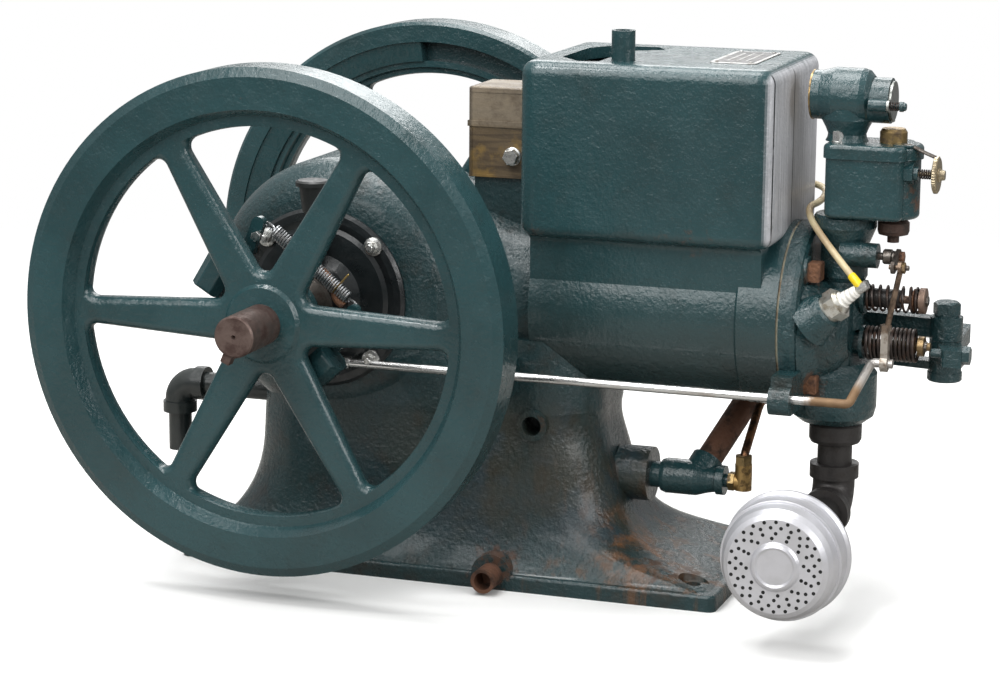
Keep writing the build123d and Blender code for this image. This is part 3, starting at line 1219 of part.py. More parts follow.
def hopper_stub():
    """Open pipe stub on the hopper deck."""
    return turned([
        (0, HOPPER_TOP - 6),
        (STUB_THREAD_RADIUS, HOPPER_TOP - 6),
        (STUB_THREAD_RADIUS, HOPPER_TOP),
        (STUB_RADIUS, HOPPER_TOP),
        (STUB_RADIUS, STUB_TOP),
        (STUB_RADIUS - 3, STUB_TOP),
        (STUB_RADIUS - 3, HOPPER_TOP),
        (0, HOPPER_TOP),
    ], (STUB_X, STUB_Y, 0))


def base_drain():
    """Rusty drain pipe in the foot of the base."""
    return turned([
        (0, DRAIN_PIPE_START),
        (DRAIN_PIPE_RADIUS, DRAIN_PIPE_START),
        (DRAIN_PIPE_RADIUS, DRAIN_PIPE_END),
        (DRAIN_PIPE_RADIUS - 3, DRAIN_PIPE_END),
        (DRAIN_PIPE_RADIUS - 3, DRAIN_PIPE_END + 20),
        (0, DRAIN_PIPE_END + 20),
    ], (DRAIN_X, 0, DRAIN_HEIGHT), (0, 1, 0))


# Ignition

def coil_box():
    """Coil box against the hopper's left side, on its seat above the throat."""
    return block(COIL_LEFT, HOPPER_LEFT, COIL_NEAR, COIL_FAR, COIL_BOTTOM, COIL_LEDGE)


def coil_box_lid():
    """Deep lid of the coil box with a lip around its lower edge."""
    lid = block(COIL_LEFT, HOPPER_LEFT, COIL_NEAR, COIL_FAR, COIL_LEDGE, COIL_TOP)
    lid = fillet(lid.edges().group_by(Axis.Z)[-1], 1.5)
    near, far = COIL_NEAR - COIL_LIP_PROUD, COIL_FAR + COIL_LIP_PROUD
    lip = block(COIL_LEFT - COIL_LIP_PROUD, HOPPER_LEFT, near, far, COIL_LEDGE, COIL_LEDGE + COIL_LIP)
    return lid + lip


def spark_plug():
    """Spark plug: thread, hexagon, insulator and terminal."""
    plug = turned([
        (0, -PLUG_THREAD),
        (PLUG_THREAD_RADIUS, -PLUG_THREAD),
        (PLUG_THREAD_RADIUS, 0),
        (12, 0),
        (12, 3),
        (0, 3),
    ], PLUG_SEAT, PLUG_DIRECTION)
    plane = Plane(origin=PLUG_SEAT, z_dir=PLUG_DIRECTION)
    plug += extrude(plane.offset(3) * RegularPolygon(14, 6), amount=9)
    plug += turned([
        (0, 12),
        (11, 12),
        (9, 15),
        (6.5, 16),
        (5, 30),
        (4, 31),
        (4, 34),
        (2.8, 34),
        (2.8, PLUG_TIP),
        (0, PLUG_TIP),
    ], PLUG_SEAT, PLUG_DIRECTION)
    return plug


def ignition_lead():
    """High-tension lead from the plug, over the head and along the far side to the coil box."""
    radii = []
    route = [Vector(*point) for point in LEAD_ROUTE]
    for before, corner, after in zip(route, route[1:], route[2:]):
        arriving, leaving = corner - before, after - corner
        shorter = min(arriving.length, leaving.length)
        half_turn = math.radians(arriving.get_angle(leaving)) / 2
        radii.append(0.45 * shorter / math.tan(half_turn))
    path = FilletPolyline(*route, radius=radii)
    return sweep(Plane(origin=path @ 0, z_dir=path % 0) * Circle(LEAD_RADIUS), path=path)


PARTS = {
    "engine_base": engine_base,
    "cylinder_hopper": cylinder_hopper,
    "near_side_cover": side_cover,
    "far_side_cover": lambda: far_side(side_cover()),
    "cylinder_head": cylinder_head,
    "head_gasket": head_gasket,
    "rocker_bracket": rocker_bracket,
    "rocker_pin": rocker_pin,
    "intake_valve": lambda: valve(INTAKE_HEIGHT, INTAKE_RETAINER_RADIUS, INTAKE_STEM_END),
    "exhaust_valve": lambda: valve(EXHAUST_HEIGHT, EXHAUST_RETAINER_RADIUS, EXHAUST_STEM_END),
    "intake_valve_spring": lambda: valve_spring(
        INTAKE_SPRING_RADIUS, INTAKE_WIRE, INTAKE_SPRING_COILS, INTAKE_HEIGHT),
    "exhaust_valve_spring": lambda: valve_spring(
        EXHAUST_SPRING_RADIUS, EXHAUST_WIRE, EXHAUST_SPRING_COILS, EXHAUST_HEIGHT),
    "rocker_arm": rocker_arm,
    "push_rod": push_rod,
    "crankshaft": crankshaft,
    "flywheel_near": near_flywheel,
    "flywheel_far": lambda: far_side(near_flywheel()),
    "gib_keys": lambda: Compound(children=[near_key(), far_key()]),
    "governor_weights": lambda: Compound(children=[governor_weight(0), governor_weight(1)]),
    "governor_collar": governor_collar,
    "governor_spring": governor_spring,
    "governor_rod": governor_rod,
    "throttle_link": throttle_link,
    "throttle_lever": throttle_lever,
    "spark_plug": spark_plug,
    "ignition_lead": ignition_lead,
    "coil_box": coil_box,
    "coil_box_lid": coil_box_lid,
    "carburettor_bowl": carburettor_bowl,
    "carburettor_lid": carburettor_lid,
    "air_inlet": air_inlet,
    "choke_shutter": choke_shutter,
    "needle_valve": needle_valve,
    "reservoir_cap": reservoir_cap,
    "carburettor_drain": carburettor_drain,
    "exhaust_nipple": exhaust_nipple,
    "exhaust_elbow": exhaust_elbow,
    "muffler": muffler,
    "fuel_fitting": fuel_fitting,
    "filler_pipe": filler_pipe,
    "fuel_line": fuel_line,
    "breather_pipe": breather_pipe,
    "oil_cups": lambda: Compound(children=[oil_cup(), far_side(oil_cup())]),
    "hopper_stub_pipe": hopper_stub,
    "base_drain_pipe": base_drain,
}

os.makedirs("parts", exist_ok=True)
for name, build in PARTS.items():
    shape = build()
    export_step(shape, f"parts/{name}.step")
    print(name, len(shape.solids()), round(shape.volume))
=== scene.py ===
import math

import bmesh
import bpy
from mathutils import Matrix, Vector


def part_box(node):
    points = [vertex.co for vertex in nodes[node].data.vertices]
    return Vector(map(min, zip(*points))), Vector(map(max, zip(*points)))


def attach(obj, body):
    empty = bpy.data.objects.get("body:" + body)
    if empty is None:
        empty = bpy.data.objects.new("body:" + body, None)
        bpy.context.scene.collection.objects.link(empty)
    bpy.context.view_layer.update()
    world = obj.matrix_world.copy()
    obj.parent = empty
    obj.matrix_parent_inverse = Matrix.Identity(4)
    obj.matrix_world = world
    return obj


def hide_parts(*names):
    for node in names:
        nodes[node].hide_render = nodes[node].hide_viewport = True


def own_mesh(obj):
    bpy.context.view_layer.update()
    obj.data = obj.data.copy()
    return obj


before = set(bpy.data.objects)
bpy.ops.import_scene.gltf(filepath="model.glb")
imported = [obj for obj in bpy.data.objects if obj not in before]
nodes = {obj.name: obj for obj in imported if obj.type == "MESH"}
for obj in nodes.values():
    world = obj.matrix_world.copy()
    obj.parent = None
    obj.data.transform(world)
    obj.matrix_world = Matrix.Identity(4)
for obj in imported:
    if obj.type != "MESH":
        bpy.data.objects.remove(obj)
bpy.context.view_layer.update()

# Places that several pieces share, in metres, in the frame's own axes
PLUG_SEAT = Vector((0.447, -0.062, 0.259))
PLUG_AXIS = Vector((36, -6, 27)).normalized()

# Cylinder head and valve gear, in millimetres
HEAD_FACE = 424
VALVE_SIDE = -12
INTAKE_HEIGHT = 262
EXHAUST_HEIGHT = 223
SPRING_SEAT = 468
SPRING_CAP = 514

# Camera at the photograph's viewing angle
# Its place is in metres, its lens and sensor in millimetres
CAMERA_PLACE = Vector((0.9668, -2.3876, 0.7299))
CAMERA_AZIMUTH = math.radians(19.186)
CAMERA_ELEVATION = math.radians(11.973)
CAMERA_ROLL = math.radians(0.436)
CAMERA_LENS = 104.4
CAMERA_SENSOR = 36.0


def make_camera():
    """Puts the camera where the photograph was taken from."""
    level = math.cos(CAMERA_ELEVATION)
    back = Vector((
        math.sin(CAMERA_AZIMUTH) * level,
        -math.cos(CAMERA_AZIMUTH) * level,
        math.sin(CAMERA_ELEVATION),
    ))
    right = (-back).cross(Vector((0, 0, 1))).normalized()
    up = right.cross(-back)
    side = right * math.cos(CAMERA_ROLL) + up * math.sin(CAMERA_ROLL)
    top = up * math.cos(CAMERA_ROLL) - right * math.sin(CAMERA_ROLL)
    data = bpy.data.cameras.new("camera")
    data.sensor_width = CAMERA_SENSOR
    data.lens = CAMERA_LENS
    data.clip_end = 50
    camera = bpy.data.objects.new("camera", data)
    turn = Matrix((side, top, back)).transposed().to_4x4()
    camera.matrix_world = Matrix.Translation(CAMERA_PLACE) @ turn
    bpy.context.scene.collection.objects.link(camera)
    bpy.context.scene.camera = camera


# Node materials

class Graph:
    """One node material with short calls for the nodes that it uses."""

    def __init__(self, name):
        self.material = bpy.data.materials.new(name)
        self.material.use_nodes = True
        self.tree = self.material.node_tree
        self.shader = self.tree.nodes["Principled BSDF"]
        self.place = self.tree.nodes.new("ShaderNodeTexCoord").outputs["Object"]

    def put(self, socket, value):
        """Links a socket, or sets its value."""
        if isinstance(value, bpy.types.NodeSocket):
            self.tree.links.new(value, socket)
        else:
            socket.default_value = value

    def node(self, kind, **values):
        """Makes a node with its settings."""
        made = self.tree.nodes.new(kind)
        for key, value in values.items():
            setattr(made, key, value)
        return made

    def noise(self, scale, detail=3.0, rough=0.55, stretch=(1, 1, 1), warp=0.0):
        """Noise value around 0.5, at a scale in waves per metre."""
        mapping = self.node("ShaderNodeMapping")
        self.put(mapping.inputs["Vector"], self.place)
        mapping.inputs["Scale"].default_value = stretch
        made = self.node("ShaderNodeTexNoise")
        self.put(made.inputs["Vector"], mapping.outputs[0])
        made.inputs["Scale"].default_value = scale
        made.inputs["Detail"].default_value = detail
        made.inputs["Roughness"].default_value = rough
        made.inputs["Distortion"].default_value = warp
        return made.outputs["Fac"]

    def ramp(self, value, low, high, start=0.0, end=1.0):
        """Maps a value from low..high to start..end, smoothly and clamped."""
        made = self.node("ShaderNodeMapRange", interpolation_type="SMOOTHSTEP")
        self.put(made.inputs["Value"], value)
        self.put(made.inputs["From Min"], low)
        self.put(made.inputs["From Max"], high)
        self.put(made.inputs["To Min"], start)
        self.put(made.inputs["To Max"], end)
        return made.outputs["Result"]

    def maths(self, operation, first, second):
        """Result of a sum, difference, product or maximum."""
        made = self.node("ShaderNodeMath", operation=operation)
        self.put(made.inputs[0], first)
        self.put(made.inputs[1], second)
        return made.outputs[0]

    def both(self, first, second):
        """Product of two masks."""
        return self.maths("MULTIPLY", first, second)

    def either(self, first, second):
        """Larger of two masks."""
        return self.maths("MAXIMUM", first, second)

    def mix(self, amount, first, second):
        """Blends two colours by an amount."""
        made = self.node("ShaderNodeMix", data_type="RGBA")
        self.put(made.inputs["Factor"], amount)
        for name, value in (("A", first), ("B", second)):
            socket = [s for s in made.inputs if s.name == name and s.type == "RGBA"][0]
            self.put(socket, (*value, 1) if isinstance(value, tuple) else value)
        return [s for s in made.outputs if s.type == "RGBA"][0]

    def near(self, centre, radius):
        """One close to a place and falling to zero at a radius."""
        made = self.node("ShaderNodeVectorMath", operation="DISTANCE")
        self.put(made.inputs[0], self.place)
        made.inputs[1].default_value = centre
        return self.ramp(made.outputs["Value"], radius, radius * 0.2)

    def along(self, origin, direction):
        """Distance along a line from its origin."""
        moved = self.node("ShaderNodeVectorMath", operation="SUBTRACT")
        self.put(moved.inputs[0], self.place)
        moved.inputs[1].default_value = origin
        made = self.node("ShaderNodeVectorMath", operation="DOT_PRODUCT")
        self.put(made.inputs[0], moved.outputs[0])
        made.inputs[1].default_value = direction
        return made.outputs["Value"]

    def across(self, origin, direction):
        """Distance from a line through the origin."""
        moved = self.node("ShaderNodeVectorMath", operation="SUBTRACT")
        self.put(moved.inputs[0], self.place)
        moved.inputs[1].default_value = origin
        made = self.node("ShaderNodeVectorMath", operation="CROSS_PRODUCT")
        self.put(made.inputs[0], moved.outputs[0])
        made.inputs[1].default_value = direction
        size = self.node("ShaderNodeVectorMath", operation="LENGTH")
        self.put(size.inputs[0], made.outputs[0])
        return size.outputs["Value"]

    def axis(self, name):
        """One coordinate of the place on the surface."""
        made = self.node("ShaderNodeSeparateXYZ")
        self.put(made.inputs[0], self.place)
        return made.outputs[name]

    def between(self, value, low, high, soft=0.0005):
        """One between two limits of a value."""
        return self.both(self.ramp(value, low - soft, low + soft), self.ramp(value, high + soft, high - soft))

    def facing(self, name):
        """One where the surface looks along an axis."""
        made = self.node("ShaderNodeSeparateXYZ")
        self.put(made.inputs[0], self.node("ShaderNodeNewGeometry").outputs["True Normal"])
        return self.ramp(made.outputs[name], 0.5, 0.8)

    def finish(self, colour, roughness, metallic=0.0, bump=None, distance=0.001, coat=0.0):
        """Sets the shader; the bump is a height whose full range stands for the distance in metres."""
        self.put(self.shader.inputs["Base Color"], (*colour, 1) if isinstance(colour, tuple) else colour)
        self.put(self.shader.inputs["Roughness"], roughness)
        self.put(self.shader.inputs["Metallic"], metallic)
        self.shader.inputs["Coat Weight"].default_value = coat
        self.shader.inputs["Coat Roughness"].default_value = 0.1
        if bump is not None:
            made = self.node("ShaderNodeBump")
            made.inputs["Strength"].default_value = 1.0
            made.inputs["Distance"].default_value = distance
            self.put(made.inputs["Height"], bump)
            self.put(self.shader.inputs["Normal"], made.outputs[0])
        return self.material


# Paint, rust, dirt and painted shade
PAINT = (0.0185, 0.058, 0.064)
RUST = (0.15, 0.066, 0.03)
RUST_DARK = (0.045, 0.02, 0.012)
# Colour of real grime patches, also used as painted shade on the jacket under the hopper
GRIME_AND_SHADE = (0.021, 0.018, 0.013)


def shade(colour, amount):
    """Darker or lighter version of a colour."""
    return tuple(amount * c for c in colour)


def enamel_layers(g, colour, grime, rust_from, spots):
    """Colour and wear mask of thick enamel over iron, with grime, chips and rust."""
    broad = g.noise(9, 4)
    base = g.mix(g.ramp(broad, 0.35, 0.7), colour, shade(colour, 0.74))
    base = g.mix(g.ramp(g.noise(24, 5, 0.7), 0.48, 0.75, 0.0, grime), base, GRIME_AND_SHADE)
    worn = g.ramp(g.noise(52, 7, 0.72), rust_from, rust_from + 0.04)
    for centre, radius, strength in spots:
        close = g.maths("MULTIPLY", g.near(centre, radius), strength)
        broken = g.maths("ADD", g.noise(75, 7, 0.72), g.maths("MULTIPLY", close, 0.3))
        worn = g.either(worn, g.both(g.ramp(broken, 0.66, 0.8), close))
    rusty = g.mix(g.noise(120, 6, 0.7), RUST_DARK, RUST)
    return g.mix(worn, base, rusty), worn


def enamel_finish(g, base, worn, cast, peel, pits=120):
    """Glossy coat over a cast surface with fine orange peel; pits is the waves per metre of the casting."""
    shine = g.ramp(g.noise(60, 4), 0.3, 0.75, 0.17, 0.34)
    shine = g.either(shine, g.maths("MULTIPLY", worn, 0.85))
    height = g.maths("ADD", g.maths("MULTIPLY", g.noise(330, 3, 0.55), peel), g.noise(pits, 4, 0.6))
    return g.finish(base, shine, 0.0, height, cast, coat=0.2)


def enamel(name, cast, rust_from, spots=(), grime=0.35, colour=PAINT, peel=0.4):
    """Thick green enamel over rough iron."""
    g = Graph(name)
    base, worn = enamel_layers(g, colour, grime, rust_from, spots)
    return enamel_finish(g, base, worn, cast, peel)


# Places where the enamel is worn through: centre, radius and strength
HOPPER_WEAR = (
    ((0.2, -0.085, 0.306), 0.04, 0.5),
    ((0.33, -0.085, 0.306), 0.05, 0.45),
)
CASTING_WEAR = (
    ((0.3, -0.08, 0.03), 0.06, 0.75),
    ((0.33, -0.07, 0.014), 0.05, 0.7),
    ((0.2, -0.085, 0.145), 0.02, 0.7),
    ((0.168, -0.1, 0.02), 0.045, 0.9),
    ((-0.07, -0.1, 0.02), 0.06, 0.5),
)
HEAD_WEAR = (
    ((0.43, -0.05, 0.19), 0.03, 0.9),
    ((0.43, -0.045, 0.285), 0.025, 0.9),
    ((0.45, -0.012, 0.325), 0.03, 0.6),
)
FITTINGS_WEAR = (
    ((0.501, -0.02, 0.35), 0.03, 0.9),
)

# Head end of the hopper: where its bare face starts, and its two dark seams across Y
HOPPER_BARE_ABOVE = (0.30, 0.318)
HOPPER_BARE_BEYOND = (0.376, 0.386)
HOPPER_SEAMS = ((-0.0135, -0.011), (-0.0785, -0.0768))


def hopper_paint():
    """Hopper enamel, rubbed down to grey iron on the head end, with two dark seams there, and painted shade on the
    jacket below the hopper's overhang.
    """
    g = Graph("hopper")
    base, worn = enamel_layers(g, PAINT, 0.22, 0.72, HOPPER_WEAR)
    # Painted shade: the jacket darkens below the hopper's overhang, blending towards the grime colour lower down
    base = g.mix(g.ramp(g.axis("Z"), 0.305, 0.19, 0.0, 0.42), base, GRIME_AND_SHADE)
    end = g.both(g.facing("X"), g.ramp(g.axis("Z"), *HOPPER_BARE_ABOVE))
    end = g.both(end, g.ramp(g.axis("X"), *HOPPER_BARE_BEYOND))
    streaks = g.ramp(g.noise(40, 7, 0.72, (1, 6, 0.35)), 0.3, 0.7)
    grey = g.mix(streaks, (0.36, 0.365, 0.385), (0.6, 0.605, 0.635))
    grey = g.mix(g.ramp(g.noise(60, 6, 0.7), 0.58, 0.74, 0.0, 0.4), grey, PAINT)
    base = g.mix(g.maths("MULTIPLY", end, 0.92), base, grey)
    side = g.axis("Y")
    seams = g.both(end, g.either(*(g.between(side, *seam) for seam in HOPPER_SEAMS)))
    base = g.mix(g.both(seams, g.ramp(g.noise(40, 4), 0.25, 0.5, 0.35, 1.0)), base, (0.01, 0.011, 0.012))
    top = g.both(g.facing("Z"), g.ramp(g.noise(30, 6, 0.7), 0.52, 0.7, 0.0, 0.5))
    base = g.mix(top, base, (0.06, 0.075, 0.072))
    shine_end = g.either(worn, g.maths("MULTIPLY", end, 0.5))
    return enamel_finish(g, base, shine_end, 0.0007, 0.9, 150)


# Middle of the rust below the fuel outlet, and of a washer on the foot, in metres
RUST_FLARE = (0.297, -0.07, 0.045)
FOOT_WASHER = (0.336, -0.062, 0)


def crankcase_paint():
    """Base enamel with brown patina, and rust below the fuel outlet, on the foot and around the drain."""
    g = Graph("casting")
    base, worn = enamel_layers(g, shade(PAINT, 0.78), 0.8, 0.7, CASTING_WEAR)
    streak = g.noise(60, 6, 0.65, (1.0, 1.0, 0.12))
    low = g.both(g.ramp(g.axis("Z"), 0.15, 0.05), g.ramp(g.axis("X"), 0.14, 0.25))
    runs = g.both(g.ramp(streak, 0.5, 0.64, 0.0, 0.8), low)
    base = g.mix(runs, base, g.mix(g.noise(40, 5), (0.045, 0.034, 0.02), (0.15, 0.07, 0.03)))
    patches = g.mix(g.ramp(g.noise(13, 5, 0.6), 0.42, 0.58), (0.038, 0.03, 0.016), (0.028, 0.04, 0.048))
    patina = g.ramp(g.noise(11, 6, 0.65, (1, 1, 0.5)), 0.36, 0.6, 0.0, 0.65)
    patina = g.both(patina, g.between(g.axis("Z"), 0.035, 0.16, 0.02))
    base = g.mix(g.both(patina, g.ramp(g.axis("X"), 0.02, 0.16, 0.4, 1.0)), base, patches)
    flare = g.both(g.near(RUST_FLARE, 0.07), g.ramp(g.noise(34, 6, 0.7), 0.44, 0.6, 0.0, 0.7))
    base = g.mix(flare, base, (0.2, 0.085, 0.028))
    washer = g.across(FOOT_WASHER, (0, 0, 1))
    ring = g.both(g.between(washer, 0.006, 0.0125, 0.0012), g.ramp(g.axis("Z"), 0.024, 0.017))
    base = g.mix(g.maths("MULTIPLY", ring, 0.7), base, (0.12, 0.12, 0.11))
    return enamel_finish(g, base, g.either(worn, g.maths("MULTIPLY", runs, 0.6)), 0.0013, 0.25, 230)


# Colour, patina, roughness, scale in waves per metre, share of patina, bump in metres and metallic
METALS = {
    "dark_steel": ((0.16, 0.145, 0.13), (0.06, 0.042, 0.032), (0.3, 0.5), 110, 0.6, 0.0002, 1.0),
    "spring_dark": ((0.07, 0.06, 0.056), (0.07, 0.038, 0.026), (0.32, 0.5), 120, 0.6, 0.0001, 1.0),
    "shaft": ((0.16, 0.115, 0.1), (0.055, 0.03, 0.024), (0.34, 0.55), 60, 0.75, 0.0003, 0.7),
    "bright": ((0.72, 0.72, 0.7), (0.4, 0.38, 0.35), (0.18, 0.32), 60, 0.2, 0.0001, 1.0),
    "spring_bright": ((0.42, 0.43, 0.44), (0.24, 0.23, 0.22), (0.28, 0.4), 80, 0.3, 0.0001, 1.0),
    "brown_steel": ((0.26, 0.18, 0.14), (0.1, 0.06, 0.045), (0.35, 0.55), 110, 0.5, 0.0003, 0.8),
    "rust": ((0.14, 0.065, 0.038), (0.045, 0.026, 0.018), (0.55, 0.8), 70, 0.6, 0.0006, 0.25),
    "rust_bolt": ((0.2, 0.095, 0.05), (0.06, 0.03, 0.021), (0.45, 0.7), 110, 0.6, 0.0012, 0.35),
    "black_iron": ((0.04, 0.037, 0.036), (0.024, 0.019, 0.016), (0.36, 0.55), 70, 0.4, 0.0005, 0.5),
    "bowl_cup": ((0.075, 0.045, 0.035), (0.03, 0.024, 0.02), (0.4, 0.6), 90, 0.5, 0.0005, 0.4),
    "brass": ((0.34, 0.24, 0.11), (0.1, 0.07, 0.04), (0.28, 0.45), 110, 0.55, 0.0001, 1.0),
    "thumbwheel": ((0.46, 0.39, 0.27), (0.2, 0.16, 0.1), (0.3, 0.46), 110, 0.5, 0.0001, 1.0),
    "old_brass": ((0.3, 0.21, 0.11), (0.11, 0.075, 0.045), (0.3, 0.5), 130, 0.6, 0.0001, 1.0),
    "shutter": ((0.34, 0.35, 0.33), (0.12, 0.13, 0.12), (0.3, 0.5), 120, 0.45, 0.0001, 1.0),
    "copper_wire": ((0.5, 0.34, 0.12), (0.25, 0.15, 0.06), (0.3, 0.4), 150, 0.3, 0.0001, 1.0),
    "plated": ((0.62, 0.62, 0.6), (0.3, 0.28, 0.25), (0.22, 0.38), 120, 0.3, 0.0001, 1.0),
    "plate": ((0.42, 0.42, 0.41), (0.17, 0.15, 0.13), (0.3, 0.5), 140, 0.4, 0.0001, 1.0),
}
# Colour, second colour, roughness, scale in waves per metre, bump in metres, metallic and coat
PLAINS = {
    "pipe_black": ((0.013, 0.018, 0.018), (0.025, 0.03, 0.028), 0.34, 120, 0.0004, 0.0, 0.3),
    "inside": ((0.009, 0.013, 0.0145), (0.006, 0.008, 0.009), 0.32, 90, 0.0005, 0.0, 0.3),
    "cup": ((0.012, 0.015, 0.015), (0.02, 0.021, 0.02), 0.45, 120, 0.0003, 0.0, 0.0),
    # holes: near-black finish, painted shade for the dark inside of the silencer's holes
    "holes": ((0.006, 0.006, 0.006), (0.0045, 0.0045, 0.0045), 0.8, 200, 0.0002, 0.0, 0.0),
    "lead": ((0.6, 0.5, 0.3), (0.42, 0.31, 0.18), 0.5, 120, 0.0002, 0.0, 0.0),
    "sleeve": ((0.85, 0.62, 0.01), (0.8, 0.56, 0.02), 0.35, 200, 0.00005, 0.0, 0.0),
    "gasket": ((0.5, 0.47, 0.34), (0.22, 0.16, 0.1), 0.7, 200, 0.0002, 0.0, 0.0),
    "plate_field": ((0.05, 0.05, 0.05), (0.09, 0.085, 0.08), 0.45, 150, 0.0001, 0.3, 0.0),
}


def metal(name, colour, dark, rough, scale, amount, distance, metallic):
    """Bare metal with patina in patches and fine scratches."""
    g = Graph(name)
    patina = g.ramp(g.noise(scale, 6, 0.65), 0.62 - 0.3 * amount, 0.72 - 0.1 * amount)
    base = g.mix(patina, colour, dark)
    shine = g.ramp(g.noise(scale * 3, 4), 0.3, 0.7, *rough)
    shine = g.maths("ADD", shine, g.maths("MULTIPLY", patina, 0.25))
    solid = g.maths("SUBTRACT", metallic, g.maths("MULTIPLY", patina, 0.45 * metallic))
    return g.finish(base, shine, solid, g.noise(scale * 4, 4, 0.6), distance)


def plain(name, colour, second, rough, scale, distance, metallic, coat):
    """A finish with light variation in colour and a fine grain."""
    g = Graph(name)
    base = g.mix(g.ramp(g.noise(scale * 0.3, 4), 0.35, 0.7), colour, second)
    shine = g.ramp(g.noise(scale, 3), 0.3, 0.7, rough * 0.8, min(1.0, rough * 1.2))
    return g.finish(base, shine, metallic, g.noise(scale * 2, 3), distance, coat)


# Where a finish changes along a part, in metres: along X, Z, Z, Z, Y and the plug's own axis
ROD_RUST_FROM = (0.448, 0.46)
LINK_YOKE_TOP = (0.236, 0.25)
ELBOW_TOP = (0.104, 0.107)
BOX_DUST_ABOVE = (0.391, 0.396)
CAN_PIPE_END = (-0.161, -0.1575)
PLUG_WHITE = (0.0155, 0.0312)


def rod_metal():
    """Bright governor rod that turns rusty brown towards its bent end."""
    g = Graph("governor_rod")
    rusty = g.ramp(g.maths("ADD", g.axis("X"), g.maths("MULTIPLY", g.noise(60, 5), 0.03)), *ROD_RUST_FROM)
    rusty = g.both(rusty, g.ramp(g.axis("Y"), -0.07, -0.088, 0.35, 1.0))
    dull = g.either(rusty, g.ramp(g.noise(55, 6, 0.7, (0.3, 1, 1)), 0.56, 0.74, 0.0, 0.6))
    base = g.mix(dull, (0.74, 0.74, 0.73), g.mix(g.noise(90, 5), (0.13, 0.075, 0.04), (0.3, 0.19, 0.1)))
    shine = g.ramp(g.noise(200, 4, 0.6, (0.2, 1, 1)), 0.3, 0.7, 0.2, 0.34)
    shine = g.maths("ADD", shine, g.maths("MULTIPLY", dull, 0.35))
    return g.finish(base, shine, g.ramp(dull, 0.0, 1.0, 1.0, 0.35), g.noise(300, 4), 0.00012)


def link_finish():
    """Throttle link with a pale worn yoke and a brown stem."""
    g = Graph("throttle_link")
    stem = g.ramp(g.axis("Z"), *LINK_YOKE_TOP)
    pale = g.mix(g.ramp(g.noise(120, 6, 0.7), 0.45, 0.65), (0.46, 0.42, 0.37), (0.2, 0.15, 0.11))
    brown = g.mix(g.ramp(g.noise(110, 6, 0.7), 0.42, 0.62), (0.24, 0.17, 0.12), (0.08, 0.055, 0.04))
    shine = g.ramp(g.noise(300, 4), 0.3, 0.7, 0.32, 0.5)
    return g.finish(g.mix(stem, pale, brown), shine, 0.7, g.noise(500, 4), 0.0002)


def plug_finish():
    """Spark plug: plated hexagon, ribbed white insulator and bare terminal."""
    g = Graph("spark_plug")
    height = g.along(PLUG_SEAT, PLUG_AXIS)
    white = g.between(height, *PLUG_WHITE, 0.0002)
    plated = g.mix(g.ramp(g.noise(130, 6, 0.7), 0.48, 0.66), (0.62, 0.61, 0.56), (0.33, 0.29, 0.22))
    glaze = g.mix(g.ramp(g.noise(160, 5), 0.5, 0.75, 0.0, 0.35), (0.86, 0.84, 0.79), (0.6, 0.55, 0.46))
    base = g.mix(white, plated, glaze)
    ribs = g.node("ShaderNodeTexWave", wave_type="BANDS", bands_direction="X", wave_profile="SIN")
    made = g.node("ShaderNodeCombineXYZ")
    g.put(made.inputs["X"], height)
    g.put(ribs.inputs["Vector"], made.outputs[0])
    ribs.inputs["Scale"].default_value = 75
    ribs.inputs["Distortion"].default_value = 0.0
    relief = g.maths("ADD", g.both(white, ribs.outputs["Fac"]), g.maths("MULTIPLY", g.noise(600, 3), 0.05))
    shine = g.ramp(white, 0.0, 1.0, 0.33, 0.16)
    return g.finish(base, shine, g.ramp(white, 0.0, 1.0, 0.85, 0.0), relief, 0.0007)


def fuel_metal():
    """Brass elbow at the foot of the fuel line and a brown copper tube above it."""
    g = Graph("fuel_line")
    upper = g.ramp(g.axis("Z"), *ELBOW_TOP)
    brass = g.mix(g.ramp(g.noise(110, 6, 0.7), 0.45, 0.62), (0.4, 0.26, 0.1), (0.11, 0.07, 0.035))
    tube = g.mix(g.ramp(g.noise(90, 6, 0.7), 0.42, 0.62), (0.24, 0.115, 0.055), (0.07, 0.04, 0.026))
    shine = g.ramp(g.noise(200, 4), 0.3, 0.7, 0.3, 0.46)
    return g.finish(g.mix(upper, brass, tube), shine, 0.85, g.noise(400, 4), 0.0001)


def box_finish():
    """Coil box sheet with worn varnish, yellow-brown stains and a grey dusty top."""
    g = Graph("coil_box")
    grain = g.noise(60, 6, 0.6, (0.3, 3, 3), warp=0.5)
    base = g.mix(g.ramp(grain, 0.4, 0.62), (0.14, 0.1, 0.056), (0.075, 0.052, 0.03))
    base = g.mix(g.ramp(g.noise(22, 6, 0.7), 0.46, 0.66, 0.0, 0.85), base, (0.065, 0.052, 0.036))
    stain = g.both(g.ramp(g.noise(30, 5, 0.6), 0.5, 0.62), g.ramp(g.axis("Z"), 0.4, 0.38))
    base = g.mix(g.maths("MULTIPLY", stain, 0.55), base, (0.34, 0.21, 0.05))
    dust = g.ramp(g.axis("Z"), *BOX_DUST_ABOVE)
    grey = g.mix(g.ramp(g.noise(45, 6, 0.7), 0.4, 0.65), (0.26, 0.215, 0.155), (0.14, 0.11, 0.08))
    base = g.mix(g.maths("MULTIPLY", dust, 0.75), base, grey)
    corner = g.either(g.ramp(g.axis("X"), 0.1235, 0.1205), g.ramp(g.axis("X"), 0.1755, 0.179))
    base = g.mix(g.maths("MULTIPLY", corner, 0.6), base, (0.035, 0.03, 0.024))
    return g.finish(base, g.ramp(grain, 0.3, 0.7, 0.38, 0.62), 0.15, g.noise(70, 6, 0.65), 0.0008, coat=0.1)


